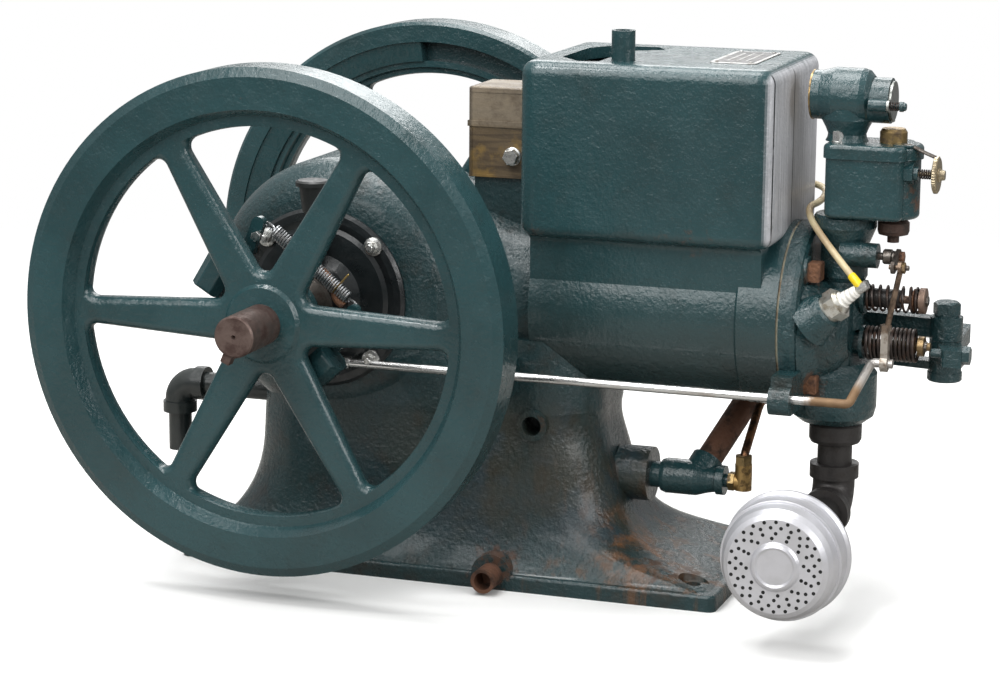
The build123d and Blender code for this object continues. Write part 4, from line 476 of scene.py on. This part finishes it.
def can_finish():
    """Matt aluminium paint of the silencer, duller towards the pipe."""
    g = Graph("silencer")
    pipe = g.ramp(g.axis("Y"), *CAN_PIPE_END)
    base = g.mix(g.ramp(g.noise(60, 4), 0.35, 0.7), (0.61, 0.61, 0.645), (0.55, 0.55, 0.575))
    base = g.mix(pipe, base, (0.03, 0.028, 0.027))
    shine = g.ramp(pipe, 0.0, 1.0, 0.34, 0.6)
    return g.finish(base, shine, 0.6, g.noise(900, 3), 0.00006)


MATERIALS = {}


def make_materials():
    """Makes every finish once, by name."""
    MATERIALS["casting"] = crankcase_paint()
    MATERIALS["hopper"] = hopper_paint()
    MATERIALS["wheel"] = enamel("wheel", 0.0009, 0.725, grime=0.22, peel=0.5)
    MATERIALS["weights"] = enamel("weights", 0.0008, 0.7, grime=0.3)
    MATERIALS["head"] = enamel("head", 0.0024, 0.68, HEAD_WEAR, 0.7, shade(PAINT, 0.84))
    MATERIALS["fittings"] = enamel("fittings", 0.0013, 0.7, FITTINGS_WEAR, 0.3)
    for name, values in METALS.items():
        MATERIALS[name] = metal(name, *values)
    for name, values in PLAINS.items():
        MATERIALS[name] = plain(name, *values)
    MATERIALS["governor_rod"] = rod_metal()
    MATERIALS["throttle_link"] = link_finish()
    MATERIALS["fuel_line"] = fuel_metal()
    MATERIALS["can"] = can_finish()
    MATERIALS["coil_box"] = box_finish()
    MATERIALS["spark_plug"] = plug_finish()


NODE_MATERIALS = {
    "casting": ("engine_base",),
    "hopper": ("cylinder_hopper", "hopper_stub_pipe"),
    "wheel": ("flywheel_near", "flywheel_far"),
    "weights": ("governor_weights",),
    "head": ("cylinder_head", "rocker_bracket", "rocker_arm", "rocker_pin"),
    "fittings": ("carburettor_bowl", "carburettor_lid", "air_inlet", "fuel_fitting"),
    "pipe_black": ("breather_pipe",),
    "inside": ("near_side_cover", "far_side_cover"),
    "cup": ("oil_cups",),
    "brown_steel": ("intake_valve",),
    "throttle_link": ("throttle_link",),
    "dark_steel": ("governor_collar", "throttle_lever"),
    "spring_dark": ("intake_valve_spring", "exhaust_valve_spring"),
    "shaft": ("crankshaft", "gib_keys"),
    "bright": ("push_rod", "governor_spring"),
    "governor_rod": ("governor_rod",),
    "rust": ("filler_pipe", "base_drain_pipe"),
    "black_iron": ("exhaust_nipple", "exhaust_elbow"),
    "bowl_cup": ("carburettor_drain",),
    "brass": ("reservoir_cap",),
    "thumbwheel": ("needle_valve",),
    "old_brass": ("exhaust_valve",),
    "shutter": ("choke_shutter",),
    "fuel_line": ("fuel_line",),
    "can": ("muffler",),
    "coil_box": ("coil_box", "coil_box_lid"),
    "spark_plug": ("spark_plug",),
    "lead": ("ignition_lead",),
    "gasket": ("head_gasket",),
}


def dress(piece, name):
    """Gives a piece one of the finishes."""
    piece.data.materials.clear()
    piece.data.materials.append(MATERIALS[name])


def dress_nodes():
    """Gives each carried-over node its finish."""
    for name, members in NODE_MATERIALS.items():
        for member in members:
            dress(nodes[member], name)


# Detail pieces

def mm(x, y, z):
    """Point or size given in millimetres."""
    return Vector((x, y, z)) * 0.001


def frame_along(direction, turn=0.0):
    """Two directions square to a line, and the direction of the line."""
    line = Vector(direction).normalized()
    helper = Vector((0, 0, 1)) if abs(line.z) < 0.9 else Vector((1, 0, 0))
    side = helper.cross(line).normalized()
    up = line.cross(side)
    angle = math.radians(turn)
    return side * math.cos(angle) + up * math.sin(angle), up * math.cos(angle) - side * math.sin(angle), line


def smooth_path(points, steps=6):
    """Rounded path through a few points."""
    ends = [points[0] * 2 - points[1], *points, points[-1] * 2 - points[-2]]
    path = []
    for a, b, c, d in zip(ends, ends[1:], ends[2:], ends[3:]):
        for step in range(steps):
            t = step / steps
            path.append(0.5 * (2 * b + (c - a) * t + (2 * a - 5 * b + 4 * c - d) * t * t
                               + (3 * b - a - 3 * c + d) * t ** 3))
    return [*path, points[-1]]


# Part of a bolt head's radius that is turned down, and the steepest angle that is shaded smooth, in degrees
BOLT_CHAMFER = 0.12
SMOOTH_UNDER = 35


class Piece:
    """One detail mesh, put together from rings of points."""

    def __init__(self, name, finish, body="engine"):
        self.name = name
        self.body = body
        self.finishes = [finish]
        self.current = 0
        self.mesh = bmesh.new()

    def paint(self, finish):
        """The faces that follow get this finish."""
        if finish not in self.finishes:
            self.finishes.append(finish)
        self.current = self.finishes.index(finish)

    def face(self, corners):
        """Adds one face in the current finish."""
        made = self.mesh.faces.new(corners)
        made.material_index = self.current
        made.smooth = True

    def skin(self, rings):
        """Joins rings of points into one closed skin."""
        made = [[self.mesh.verts.new(point) for point in ring] for ring in rings]
        for low, high in zip(made, made[1:]):
            for index in range(len(low)):
                after = (index + 1) % len(low)
                self.face((low[index], low[after], high[after], high[index]))
        self.face(list(reversed(made[0])))
        self.face(made[-1])

    def turned(self, outline, place, direction, sides=32, turn=0.0):
        """Turned shape; each outline point is a radius and a distance along the line, in millimetres."""
        side, up, line = frame_along(direction, turn)
        rings = []
        for radius, distance in outline:
            centre = Vector(place) + line * distance * 0.001
            rings.append([
                centre + (side * math.cos(a) + up * math.sin(a)) * radius * 0.001
                for a in (math.tau * index / sides for index in range(sides))
            ])
        self.skin(rings)

    def bolt_head(self, place, direction, across, height, sides=6, turn=0.0):
        """Square or hexagonal head whose corners are turned down, with sizes in millimetres."""
        outer = across / 2 / math.cos(math.pi / sides)
        inner = outer * (1 - BOLT_CHAMFER)
        self.turned([(outer, 0), (outer, height - outer * BOLT_CHAMFER * 0.7), (inner, height)],
                    place, direction, sides, turn)

    def swept(self, path, radius, sides):
        """Round wire along a path, with its radius in millimetres."""
        line = (path[1] - path[0]).normalized()
        side = frame_along(line)[0]
        rings = []
        for index, point in enumerate(path):
            ahead = path[min(index + 1, len(path) - 1)] - path[max(index - 1, 0)]
            line = ahead.normalized()
            side = (side - line * side.dot(line)).normalized()
            up = line.cross(side)
            rings.append([
                point + (side * math.cos(a) + up * math.sin(a)) * radius * 0.001
                for a in (math.tau * step / sides for step in range(sides))
            ])
        self.skin(rings)

    def coil(self, start, end, radius, wire, turns, steps=20, sides=8):
        """Helical spring between two points, with radii in millimetres."""
        side, up = frame_along(end - start)[:2]
        total = int(turns * steps)
        path = []
        for index in range(total + 1):
            angle = math.tau * index / steps
            centre = start + (end - start) * (index / total)
            path.append(centre + (side * math.cos(angle) + up * math.sin(angle)) * radius * 0.001)
        self.swept(path, wire, sides)

    def slab(self, outline, place, side, up, thickness, edge):
        """Flat plate with eased edges from an outline in millimetres."""
        normal = side.cross(up)
        middle = sum((Vector(point) for point in outline), Vector((0, 0))) / len(outline)
        rings = []
        for shrink, height in ((0.0, 0.0), (0.0, thickness - edge), (edge, thickness)):
            ring = []
            for point in outline:
                flat = Vector(point) - middle
                flat = flat * max(0.0, 1 - shrink / max(flat.length, 0.01)) + middle
                ring.append(place + (side * flat.x + up * flat.y + normal * height) * 0.001)
            rings.append(ring)
        self.skin(rings)

    def done(self):
        """Makes the object and hangs it on its body."""
        bmesh.ops.recalc_face_normals(self.mesh, faces=self.mesh.faces)
        data = bpy.data.meshes.new(self.name)
        self.mesh.to_mesh(data)
        self.mesh.free()
        data.set_sharp_from_angle(angle=math.radians(SMOOTH_UNDER))
        for finish in self.finishes:
            data.materials.append(MATERIALS[finish])
        made = bpy.data.objects.new(self.name, data)
        bpy.context.scene.collection.objects.link(made)
        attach(made, self.body)
        return made


def rounded_outline(width, height, corner, steps=5):
    """Outline of a rounded rectangle around zero, in millimetres."""
    outline = []
    for index, (sx, sy) in enumerate(((1, 1), (-1, 1), (-1, -1), (1, -1))):
        for step in range(steps + 1):
            angle = math.radians(90 * (index + step / steps))
            outline.append((
                sx * (width / 2 - corner) + corner * math.cos(angle),
                sy * (height / 2 - corner) + corner * math.sin(angle),
            ))
    return outline


X = Vector((1, 0, 0))
Y = Vector((0, 1, 0))
Z = Vector((0, 0, 1))
# Places of the head's bolts in Y and Z, in millimetres
HEAD_BOLTS = ((-45, 287), (-48, 192), (45, 287), (48, 192))


def head_bolts():
    """Rusty square-headed bolts of the cylinder head on their washers."""
    piece = Piece("head_bolts", "rust_bolt")
    for index, (y, z) in enumerate(HEAD_BOLTS):
        place = mm(HEAD_FACE - 1, y, z)
        piece.paint("head")
        piece.turned([(12.5, 0), (12.5, 2.4), (11.6, 3)], place, X)
        piece.paint("rust_bolt")
        piece.bolt_head(place + X * 0.0028, X, 16.0, 11.0, 4, turn=45 + 6 * math.sin(3 * index))
    piece.done()


# Studs of the covers: circle and first angle, then face and height of the middle, in millimetres
COVER_STUD_CIRCLE = 70.7
COVER_STUD_ANGLE = 43.8
COVER_FACE = 89.6
CRANK_HEIGHT = 242


def cover_studs():
    """Plated nuts on washers around both crankcase covers."""
    for name, side in (("near", -1), ("far", 1)):
        piece = Piece(name + "_cover_studs", "plated")
        for index in range(4):
            angle = math.radians(COVER_STUD_ANGLE + 90 * index)
            place = mm(COVER_STUD_CIRCLE * math.cos(angle), side * COVER_FACE,
                       CRANK_HEIGHT + COVER_STUD_CIRCLE * math.sin(angle))
            piece.turned([(8.2, 0), (8.2, 3), (7.6, 3.4)], place, Y * side)
            piece.bolt_head(place + Y * side * 0.0032, Y * side, 9.5, 5, 6, turn=12 * index)
            piece.turned([(3.1, 0), (3.1, 11.4), (2.5, 12)], place, Y * side, 16)
        piece.done()


def name_plate():
    """Plate with no words on the hopper deck, with a raised rim, three bars and four pins."""
    piece = Piece("name_plate", "plate")
    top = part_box("cylinder_hopper")[1].z
    middle = Vector((0.354, 0.0035, top - 0.0001))
    piece.slab(rounded_outline(40, 91, 3), middle, X, Y, 1.0, 0.3)
    piece.paint("plate_field")
    piece.slab(rounded_outline(33, 84, 2), middle, X, Y, 1.12, 0.1)
    piece.paint("plate")
    for x in (-14.5, 14.5):
        for y in (-40, 40):
            piece.turned([(1.8, 0.8), (1.8, 1.5), (1.1, 2.0)], middle + mm(x, y, 0), Z, 14)
    for row in range(3):
        piece.slab(rounded_outline(1.4, 60, 0.6), middle + mm(-8 + 8 * row, 0, 0), X, Y, 1.3, 0.1)
    piece.done()


def coil_box_trim():
    """Hexagon bolt on the coil box's near face, folded seams and the lid's bead."""
    low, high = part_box("coil_box")
    lid_low, lid_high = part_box("coil_box_lid")
    piece = Piece("coil_box_trim", "plated")
    place = Vector((0.1595, low.y + 0.0002, 0.3684))
    piece.turned([(8, 0), (8, 1.6), (7.4, 2)], place, -Y)
    piece.bolt_head(place - Y * 0.0018, -Y, 12.5, 6.5, 6, turn=10)
    piece.paint("coil_box")
    for x in (low.x + 0.0015, high.x - 0.0022):
        piece.slab(rounded_outline(2.4, (high.z - low.z) * 1000 - 1, 0.6),
                   Vector((x, low.y + 0.0002, (low.z + high.z) / 2)), X, Z, 0.8, 0.2)
    piece.slab(rounded_outline((high.x - low.x) * 1000 - 4, 2.2, 0.6),
               Vector(((low.x + high.x) / 2, low.y + 0.0002, low.z + 0.0014)), X, Z, 0.8, 0.2)
    piece.slab(rounded_outline((lid_high.x - lid_low.x) * 1000 - 5, 1.6, 0.5),
               Vector(((lid_low.x + lid_high.x) / 2, lid_low.y + 0.0014, lid_high.z - 0.004)), X, Z, 0.7, 0.2)
    piece.done()


# Ends of the governor's spring, how far it stands off them in metres, and its wire in millimetres
GOVERNOR_HOOKS = (mm(-21, -167, 320), mm(65, -167, 250))
GOVERNOR_SPRING_LIFT = 0.0065
GOVERNOR_WIRE = 0.95


def governor_spring():
    """Closely wound governor spring with its two hooks; it stands for the plain CAD one."""
    piece = Piece("governor_spring_wound", "spring_bright", "crank")
    start, end = GOVERNOR_HOOKS
    lift = Y * GOVERNOR_SPRING_LIFT
    line = (end - start).normalized()
    piece.coil(start + lift + line * 0.0125, end + lift - line * 0.0125, 5.6, GOVERNOR_WIRE, 36, 18, 6)
    for hook, inward in ((start, line), (end, -line)):
        centre = hook + lift + inward * 0.007
        path = []
        for step in range(15):
            angle = math.radians(-70 + 320 * step / 14)
            path.append(centre + (-inward * math.cos(angle) + Y * math.sin(angle)) * 0.0048)
        path.append(centre + inward * 0.0065)
        piece.swept(path, GOVERNOR_WIRE, 8)
    made = piece.done()
    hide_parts("governor_spring")


def governor_trim():
    """Curved brown lever, thin brass wire and pin ends between the weights."""
    piece = Piece("governor_trim", "rust_bolt", "crank")
    bar = smooth_path([mm(22, -160, 283), mm(33, -161, 280), mm(42, -162, 270), mm(46, -163, 258), mm(53, -164, 252)])
    piece.swept(bar, 3.4, 10)
    piece.paint("copper_wire")
    piece.swept(smooth_path([mm(44, -166, 264), mm(50, -168, 270), mm(58, -168, 279), mm(60, -168, 280)]), 0.8, 6)
    piece.paint("dark_steel")
    for x, z in ((-31, 295.7), (62, 242)):
        piece.turned([(5.6, 0), (5.6, 2.6), (4.6, 3.4)], mm(x, -162.6, z), Y, 18)
    piece.paint("plated")
    piece.bolt_head(mm(-21, -174.4, 309), -Y, 8, 4.6, 6, turn=20)
    piece.done()


# Carburettor, in millimetres: studs in X and Y, inlet and pin in Y and Z, and the needle's wheel
LID_STUDS = ((444, -30), (444, 3))
INLET_AXIS = (-17, 432.5)
CHOKE_PIN = (-38, 428)
NEEDLE_WHEEL = (525, -30, 372)
NEEDLE_TEETH = 44


def carburettor_trim():
    """Lid studs, click spring, barrel rim and choke spring."""
    piece = Piece("carburettor_trim", "plated")
    lid_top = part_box("carburettor_lid")[1].z
    for x, y in LID_STUDS:
        place = Vector((x * 0.001, y * 0.001, lid_top - 0.0004))
        piece.turned([(6.2, 0), (6.2, 1.2), (5.6, 1.6)], place, Z, 24)
        piece.bolt_head(place + Z * 0.0014, Z, 10.4, 8.6, 6, turn=14)
        piece.turned([(4.0, 0), (4.0, 16.6), (3.3, 17.4)], place, Z, 18)
    piece.paint("fittings")
    tab = Vector((0.499, -0.029, lid_top - 0.0006))
    piece.slab(rounded_outline(17, 15, 3), tab, X, Y, 1.4, 0.3)
    piece.paint("dark_steel")
    strip = [tab + mm(0, 0, 0.6), tab + mm(7, -0.4, 0.2), tab + mm(17, -0.8, -4.2), tab + mm(28.6, -1, -8.6)]
    for offset in (-1.4, 0, 1.4):
        piece.swept(smooth_path([point + Y * offset * 0.001 for point in strip], 4), 1.3, 8)
    piece.paint("brass")
    rim = mm(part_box("air_inlet")[0].x * 1000, *INLET_AXIS)
    piece.turned([(19, -0.1), (20.9, -0.1), (20.9, 1.2), (19, 1.2)], rim, X, 48)
    piece.done()
    spring = Piece("choke_spring", "spring_dark")
    spring.coil(mm(487.3, *CHOKE_PIN), mm(495.6, *CHOKE_PIN), 3.3, 0.55, 4.5, 18, 6)
    spring.paint("weights")
    spring.turned([(3.4, 0), (3.4, 1.6), (2.6, 2.4)], mm(499, *CHOKE_PIN), X, 18)
    spring.done()


def needle_trim():
    """Knurled rim, spring and hub of the mixture needle."""
    piece = Piece("needle_trim", "thumbwheel", "needle")
    wheel = mm(*NEEDLE_WHEEL)
    outline = []
    for index in range(NEEDLE_TEETH * 2):
        angle = math.tau * index / (NEEDLE_TEETH * 2)
        radius = 15.6 if index % 2 else 14.9
        outline.append((radius * math.cos(angle), radius * math.sin(angle)))
    piece.slab(outline, wheel + X * 0.0006, Y, Z, 2.8, 0.3)
    piece.turned([(6, 3.6), (6, 4.6), (5, 5.4)], wheel, X, 20)
    piece.paint("spring_dark")
    piece.coil(mm(512.4, *NEEDLE_WHEEL[1:]), mm(524.6, *NEEDLE_WHEEL[1:]), 3.6, 0.65, 6.5, 18, 6)
    piece.done()


# Rings of holes in the silencer: radius, number of holes and first angle
MUFFLER_ROWS = ((37.0, 24, 0.0), (32.4, 24, 7.5), (27.6, 16, 0.0), (23.6, 12, 7.5))
# Place of that face in metres, and radius and place of its seams in millimetres
MUFFLER_FACE = -0.219
MUFFLER_SEAMS = ((49.6, -183.5), (50.0, -200.0))


def muffler_holes():
    """Rings of near-black discs on the silencer's face, painted shade standing for its small holes, and its two
    folded seams.
    """
    low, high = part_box("muffler")
    middle = (low + high) / 2
    piece = Piece("muffler_holes", "holes")
    # Each hole is a thin near-black disc standing on the face: painted shade, not an opening
    for radius, count, offset in MUFFLER_ROWS:
        for index in range(count):
            angle = math.radians(offset + 360 * index / count)
            place = Vector((middle.x + radius * 0.001 * math.cos(angle), MUFFLER_FACE + 0.0006,
                            middle.z + radius * 0.001 * math.sin(angle)))
            piece.turned([(1.55, 0), (1.55, 0.72)], place, -Y, 10)
    piece.paint("can")
    for radius, place in MUFFLER_SEAMS:
        piece.turned([(radius - 1, -0.8), (radius, -0.3), (radius, 0.3), (radius - 1, 0.8)],
                     Vector((middle.x, place * 0.001, middle.z)), -Y, 72)
    piece.done()


# Name, height, coil radius, wire radius, turns, and the length kept when the valve is open
VALVE_SPRINGS = (
    ("intake", INTAKE_HEIGHT, 10.5, 1.1, 6, 0.913),
    ("exhaust", EXHAUST_HEIGHT, 13, 1.6, 10, 0.915),
)
# Name, height, end of the stem and radius of the spring's cap
VALVE_STEMS = (
    ("intake", INTAKE_HEIGHT, 520, 8.5),
    ("exhaust", EXHAUST_HEIGHT, 524, 7),
)
# Rise of a closed end turn in metres, for a wire of one millimetre radius
CLOSED_TURN = 0.0021


def valve_springs():
    """Valve springs with closed ends; they stand for the plain CAD ones."""
    for name, height, radius, wire, turns, kept in VALVE_SPRINGS:
        spring = Piece(name + "_spring_wound", "spring_dark")
        start = mm(SPRING_SEAT + wire, VALVE_SIDE, height)
        end = mm(SPRING_CAP - wire, VALVE_SIDE, height)
        close = X * wire * CLOSED_TURN
        spring.coil(start, start + close, radius, wire, 1)
        spring.coil(start + close, end - close, radius, wire, turns, 28)
        spring.coil(end - close, end, radius, wire, 1)
        made = spring.done()
        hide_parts(name + "_valve_spring")
        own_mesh(made)


def valve_trim():
    """Cap rims, nuts and cotters on both stems, and the intake's sleeve with its flange."""
    sleeve = Piece("intake_sleeve_cover", "black_iron")
    sleeve.turned([(7.6, 0), (8.1, 0.8), (8.1, 27), (7.6, 28.4)],
                  mm(SPRING_SEAT + 0.6, VALVE_SIDE, INTAKE_HEIGHT), X, 32)
    sleeve.turned([(11, -2), (11.6, -1.2), (11.6, 2.2), (10.6, 3)],
                  mm(440.6, VALVE_SIDE, INTAKE_HEIGHT), X, 32)
    sleeve.done()
    for name, height, end, radius in VALVE_STEMS:
        piece = Piece(name + "_stem_trim", "rust_bolt", name)
        place = mm(SPRING_CAP, VALVE_SIDE, height)
        piece.turned([(radius, -6.2), (radius + 1.4, -5.4), (radius + 1.4, -4.6), (radius, -3.8)], place, X, 28)
        piece.paint("dark_steel")
        piece.bolt_head(place + X * 0.0046, X, 8, 2.6, 6, turn=9)
        cotter = [mm(end - 3, VALVE_SIDE - 5.4, height + 3), mm(end - 3, VALVE_SIDE + 5.4, height - 3)]
        piece.swept(cotter, 0.8, 8)
        piece.done()


# Pivots of the throttle lever and of its link, in millimetres
THROTTLE_PIVOT = (499, -30, 301)
LINK_PIVOT = (505, -50, 296)


def throttle_trim():
    """Nut and collar of the throttle lever, and the pin of its link."""
    lever = Piece("throttle_trim", "rust_bolt", "throttle")
    pivot = mm(*THROTTLE_PIVOT)
    lever.bolt_head(pivot - X * 0.0002, X, 9, 4, 6, turn=6)
    lever.paint("dark_steel")
    lever.turned([(5.6, -14), (6.4, -13), (6.4, -7), (5.2, -6), (5.2, -4.2)], pivot, X, 22)
    lever.done()
    link = Piece("throttle_link_trim", "old_brass", "link")
    top = mm(*LINK_PIVOT)
    link.bolt_head(top - X * 0.0002, X, 8.4, 3.2, 6, turn=20)
    link.paint("dark_steel")
    link.turned([(2.2, 0), (2.2, 5.6), (1.6, 6)], top, X, 14)
    link.done()


# Filler pipe: its foot in millimetres, its direction, and its length in metres
FILLER_FOOT = (320, 0, 87.5)
FILLER_AXIS = Vector((21.2, 45, 44)).normalized()
FILLER_LENGTH = 0.108
CAP_RIDGES = 40


def fittings_trim():
    """Ridged rim of the filler cap and the gland nuts of the fuel elbow."""
    piece = Piece("filler_cap_rim", "rust")
    start = mm(*FILLER_FOOT) + FILLER_AXIS * FILLER_LENGTH
    side, up, line = frame_along(FILLER_AXIS)
    rings = []
    for distance in (-0.011, -0.003):
        ring = []
        for index in range(CAP_RIDGES):
            angle = math.tau * index / CAP_RIDGES
            radius = 16.2 if index % 2 else 15.4
            ring.append(start + line * distance + (side * math.cos(angle) + up * math.sin(angle)) * radius * 0.001)
        rings.append(ring)
    piece.skin(rings)
    piece.done()
    nuts = Piece("fuel_gland_nuts", "brass")
    nuts.bolt_head(mm(362, 0, 103.5), Z, 14, 8, 6, turn=15)
    nuts.bolt_head(mm(349.5, 0, 87.5), X, 15, 6, 6, turn=0)
    nuts.done()


# Middle line of the lead with its length and diameter, in metres
LEAD_ROUTE = (
    (0.474, -0.0666, 0.281),
    (0.4385, -0.043, 0.311),
    (0.414, -0.02, 0.336),
    (0.417, 0.038, 0.334),
    (0.408, 0.094, 0.338),
    (0.365, 0.099, 0.343),
    (0.315, 0.096, 0.346),
    (0.262, 0.097, 0.34),
    (0.212, 0.097, 0.346),
    (0.172, 0.088, 0.366),
    (0.15, 0.05, 0.378),
    (0.15, 0.02, 0.378),
)
LEAD_DIAMETER = 0.006


def ignition_lead():
    """High-tension lead with its yellow sleeve and plated clip at the plug."""
    data = bpy.data.curves.new("ignition_lead_cord", "CURVE")
    data.dimensions = "3D"
    data.bevel_depth = LEAD_DIAMETER / 2
    data.bevel_resolution = 4
    data.resolution_u = 8
    data.use_fill_caps = True
    spline = data.splines.new("NURBS")
    spline.points.add(len(LEAD_ROUTE) - 1)
    for point, place in zip(spline.points, LEAD_ROUTE):
        point.co = (*place, 1)
    spline.order_u = 3
    spline.use_endpoint_u = True
    data.materials.append(MATERIALS["lead"])
    lead = bpy.data.objects.new("ignition_lead_cord", data)
    bpy.context.scene.collection.objects.link(lead)
    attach(lead, "engine")
    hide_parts("ignition_lead")
    sleeve = Piece("lead_sleeve", "sleeve")
    start, second = Vector(LEAD_ROUTE[0]), Vector(LEAD_ROUTE[1])
    line = (second - start).normalized()
    sleeve.turned([(3.3, -1), (3.7, -0.4), (3.7, 13), (3.3, 13.6)], start, line, 24)
    sleeve.paint("plated")
    sleeve.turned([(4.2, 0), (4.2, 7.4), (3.2, 8)], PLUG_SEAT + PLUG_AXIS * 0.0335, PLUG_AXIS, 20)
    made = sleeve.done()


def make_details():
    """Adds every piece that the CAD leaves to the looks."""
    for make in (head_bolts, cover_studs, name_plate, coil_box_trim, governor_spring, governor_trim,
                 carburettor_trim, needle_trim, muffler_holes, valve_springs, valve_trim, throttle_trim,
                 fittings_trim, ignition_lead):
        make()


# Floor, backdrop and light

# Half the width of the floor, where it fades, in metres, and the strength of the surroundings' light
FLOOR_SPAN = 3
FLOOR_CLEAR_FROM = 0.85
FLOOR_CLEAR_TO = 1.9
SKY_LOW = 0.2
SKY_HIGH = 0.7
LAMP_AIM = Vector((0.18, 0, 0.22))
# Name, place, size in metres and power in watts
LAMPS = (
    ("key", (-0.5, -2.8, 2.3), 2.4, 70),
    ("fill", (2.7, -1.2, 1.5), 1.5, 34),
    ("top", (0.0, 0.1, 2.6), 1.3, 46),
    ("tube", (-0.5, -0.9, 2.2), 0.35, 14),
    ("rear", (-0.6, 2.4, 1.9), 1.6, 30),
)


def make_floor():
    """Pale floor that fades into the white surroundings."""
    mesh = bpy.data.meshes.new("floor")
    corners = [(x * FLOOR_SPAN, y * FLOOR_SPAN, 0) for x, y in ((-1, -1), (1, -1), (1, 1), (-1, 1))]
    mesh.from_pydata(corners, [], [(0, 1, 2, 3)])
    floor = bpy.data.objects.new("floor", mesh)
    bpy.context.scene.collection.objects.link(floor)
    g = Graph("floor")
    seen = g.node("ShaderNodeLightPath").outputs["Is Camera Ray"]
    mesh.materials.append(g.finish(g.mix(seen, (0.3, 0.29, 0.27), (0.92, 0.92, 0.91)), 0.6))
    away = g.across((0.12, 0, 0), (0, 0, 1))
    g.put(g.shader.inputs["Alpha"], g.ramp(away, FLOOR_CLEAR_FROM, FLOOR_CLEAR_TO, 1.0, 0.0))


def make_world():
    """White surroundings, softer in their light than they look."""
    world = bpy.data.worlds.new("studio")
    bpy.context.scene.world = world
    world.use_nodes = True
    tree = world.node_tree
    background = tree.nodes["Background"]
    path = tree.nodes.new("ShaderNodeLightPath")
    clear = tree.nodes.new("ShaderNodeMath")
    clear.operation = "MAXIMUM"
    tree.links.new(path.outputs["Is Camera Ray"], clear.inputs[0])
    tree.links.new(path.outputs["Is Transmission Ray"], clear.inputs[1])
    place = tree.nodes.new("ShaderNodeTexCoord")
    parts = tree.nodes.new("ShaderNodeSeparateXYZ")
    tree.links.new(place.outputs["Generated"], parts.inputs[0])
    sky = tree.nodes.new("ShaderNodeMapRange")
    for name, value in (("From Min", -0.15), ("From Max", 0.75), ("To Min", SKY_LOW), ("To Max", SKY_HIGH)):
        sky.inputs[name].default_value = value
    tree.links.new(parts.outputs["Z"], sky.inputs["Value"])
    strength = tree.nodes.new("ShaderNodeMapRange")
    tree.links.new(sky.outputs[0], strength.inputs["To Min"])
    strength.inputs["To Max"].default_value = 1.0
    tree.links.new(clear.outputs[0], strength.inputs["Value"])
    tree.links.new(strength.outputs[0], background.inputs["Strength"])
    background.inputs["Color"].default_value = (1, 1, 1, 1)


def make_lamps():
    """Soft area lamps that look at the engine."""
    for name, place, size, power in LAMPS:
        data = bpy.data.lights.new(name, "AREA")
        data.size = size
        data.energy = power
        lamp = bpy.data.objects.new(name, data)
        lamp.location = place
        aim = LAMP_AIM - Vector(place)
        lamp.rotation_euler = aim.to_track_quat("-Z", "Y").to_euler()
        bpy.context.scene.collection.objects.link(lamp)


bpy.context.scene.view_settings.view_transform = "Standard"
make_camera()
make_materials()
dress_nodes()
make_details()
make_floor()
make_world()
make_lamps()
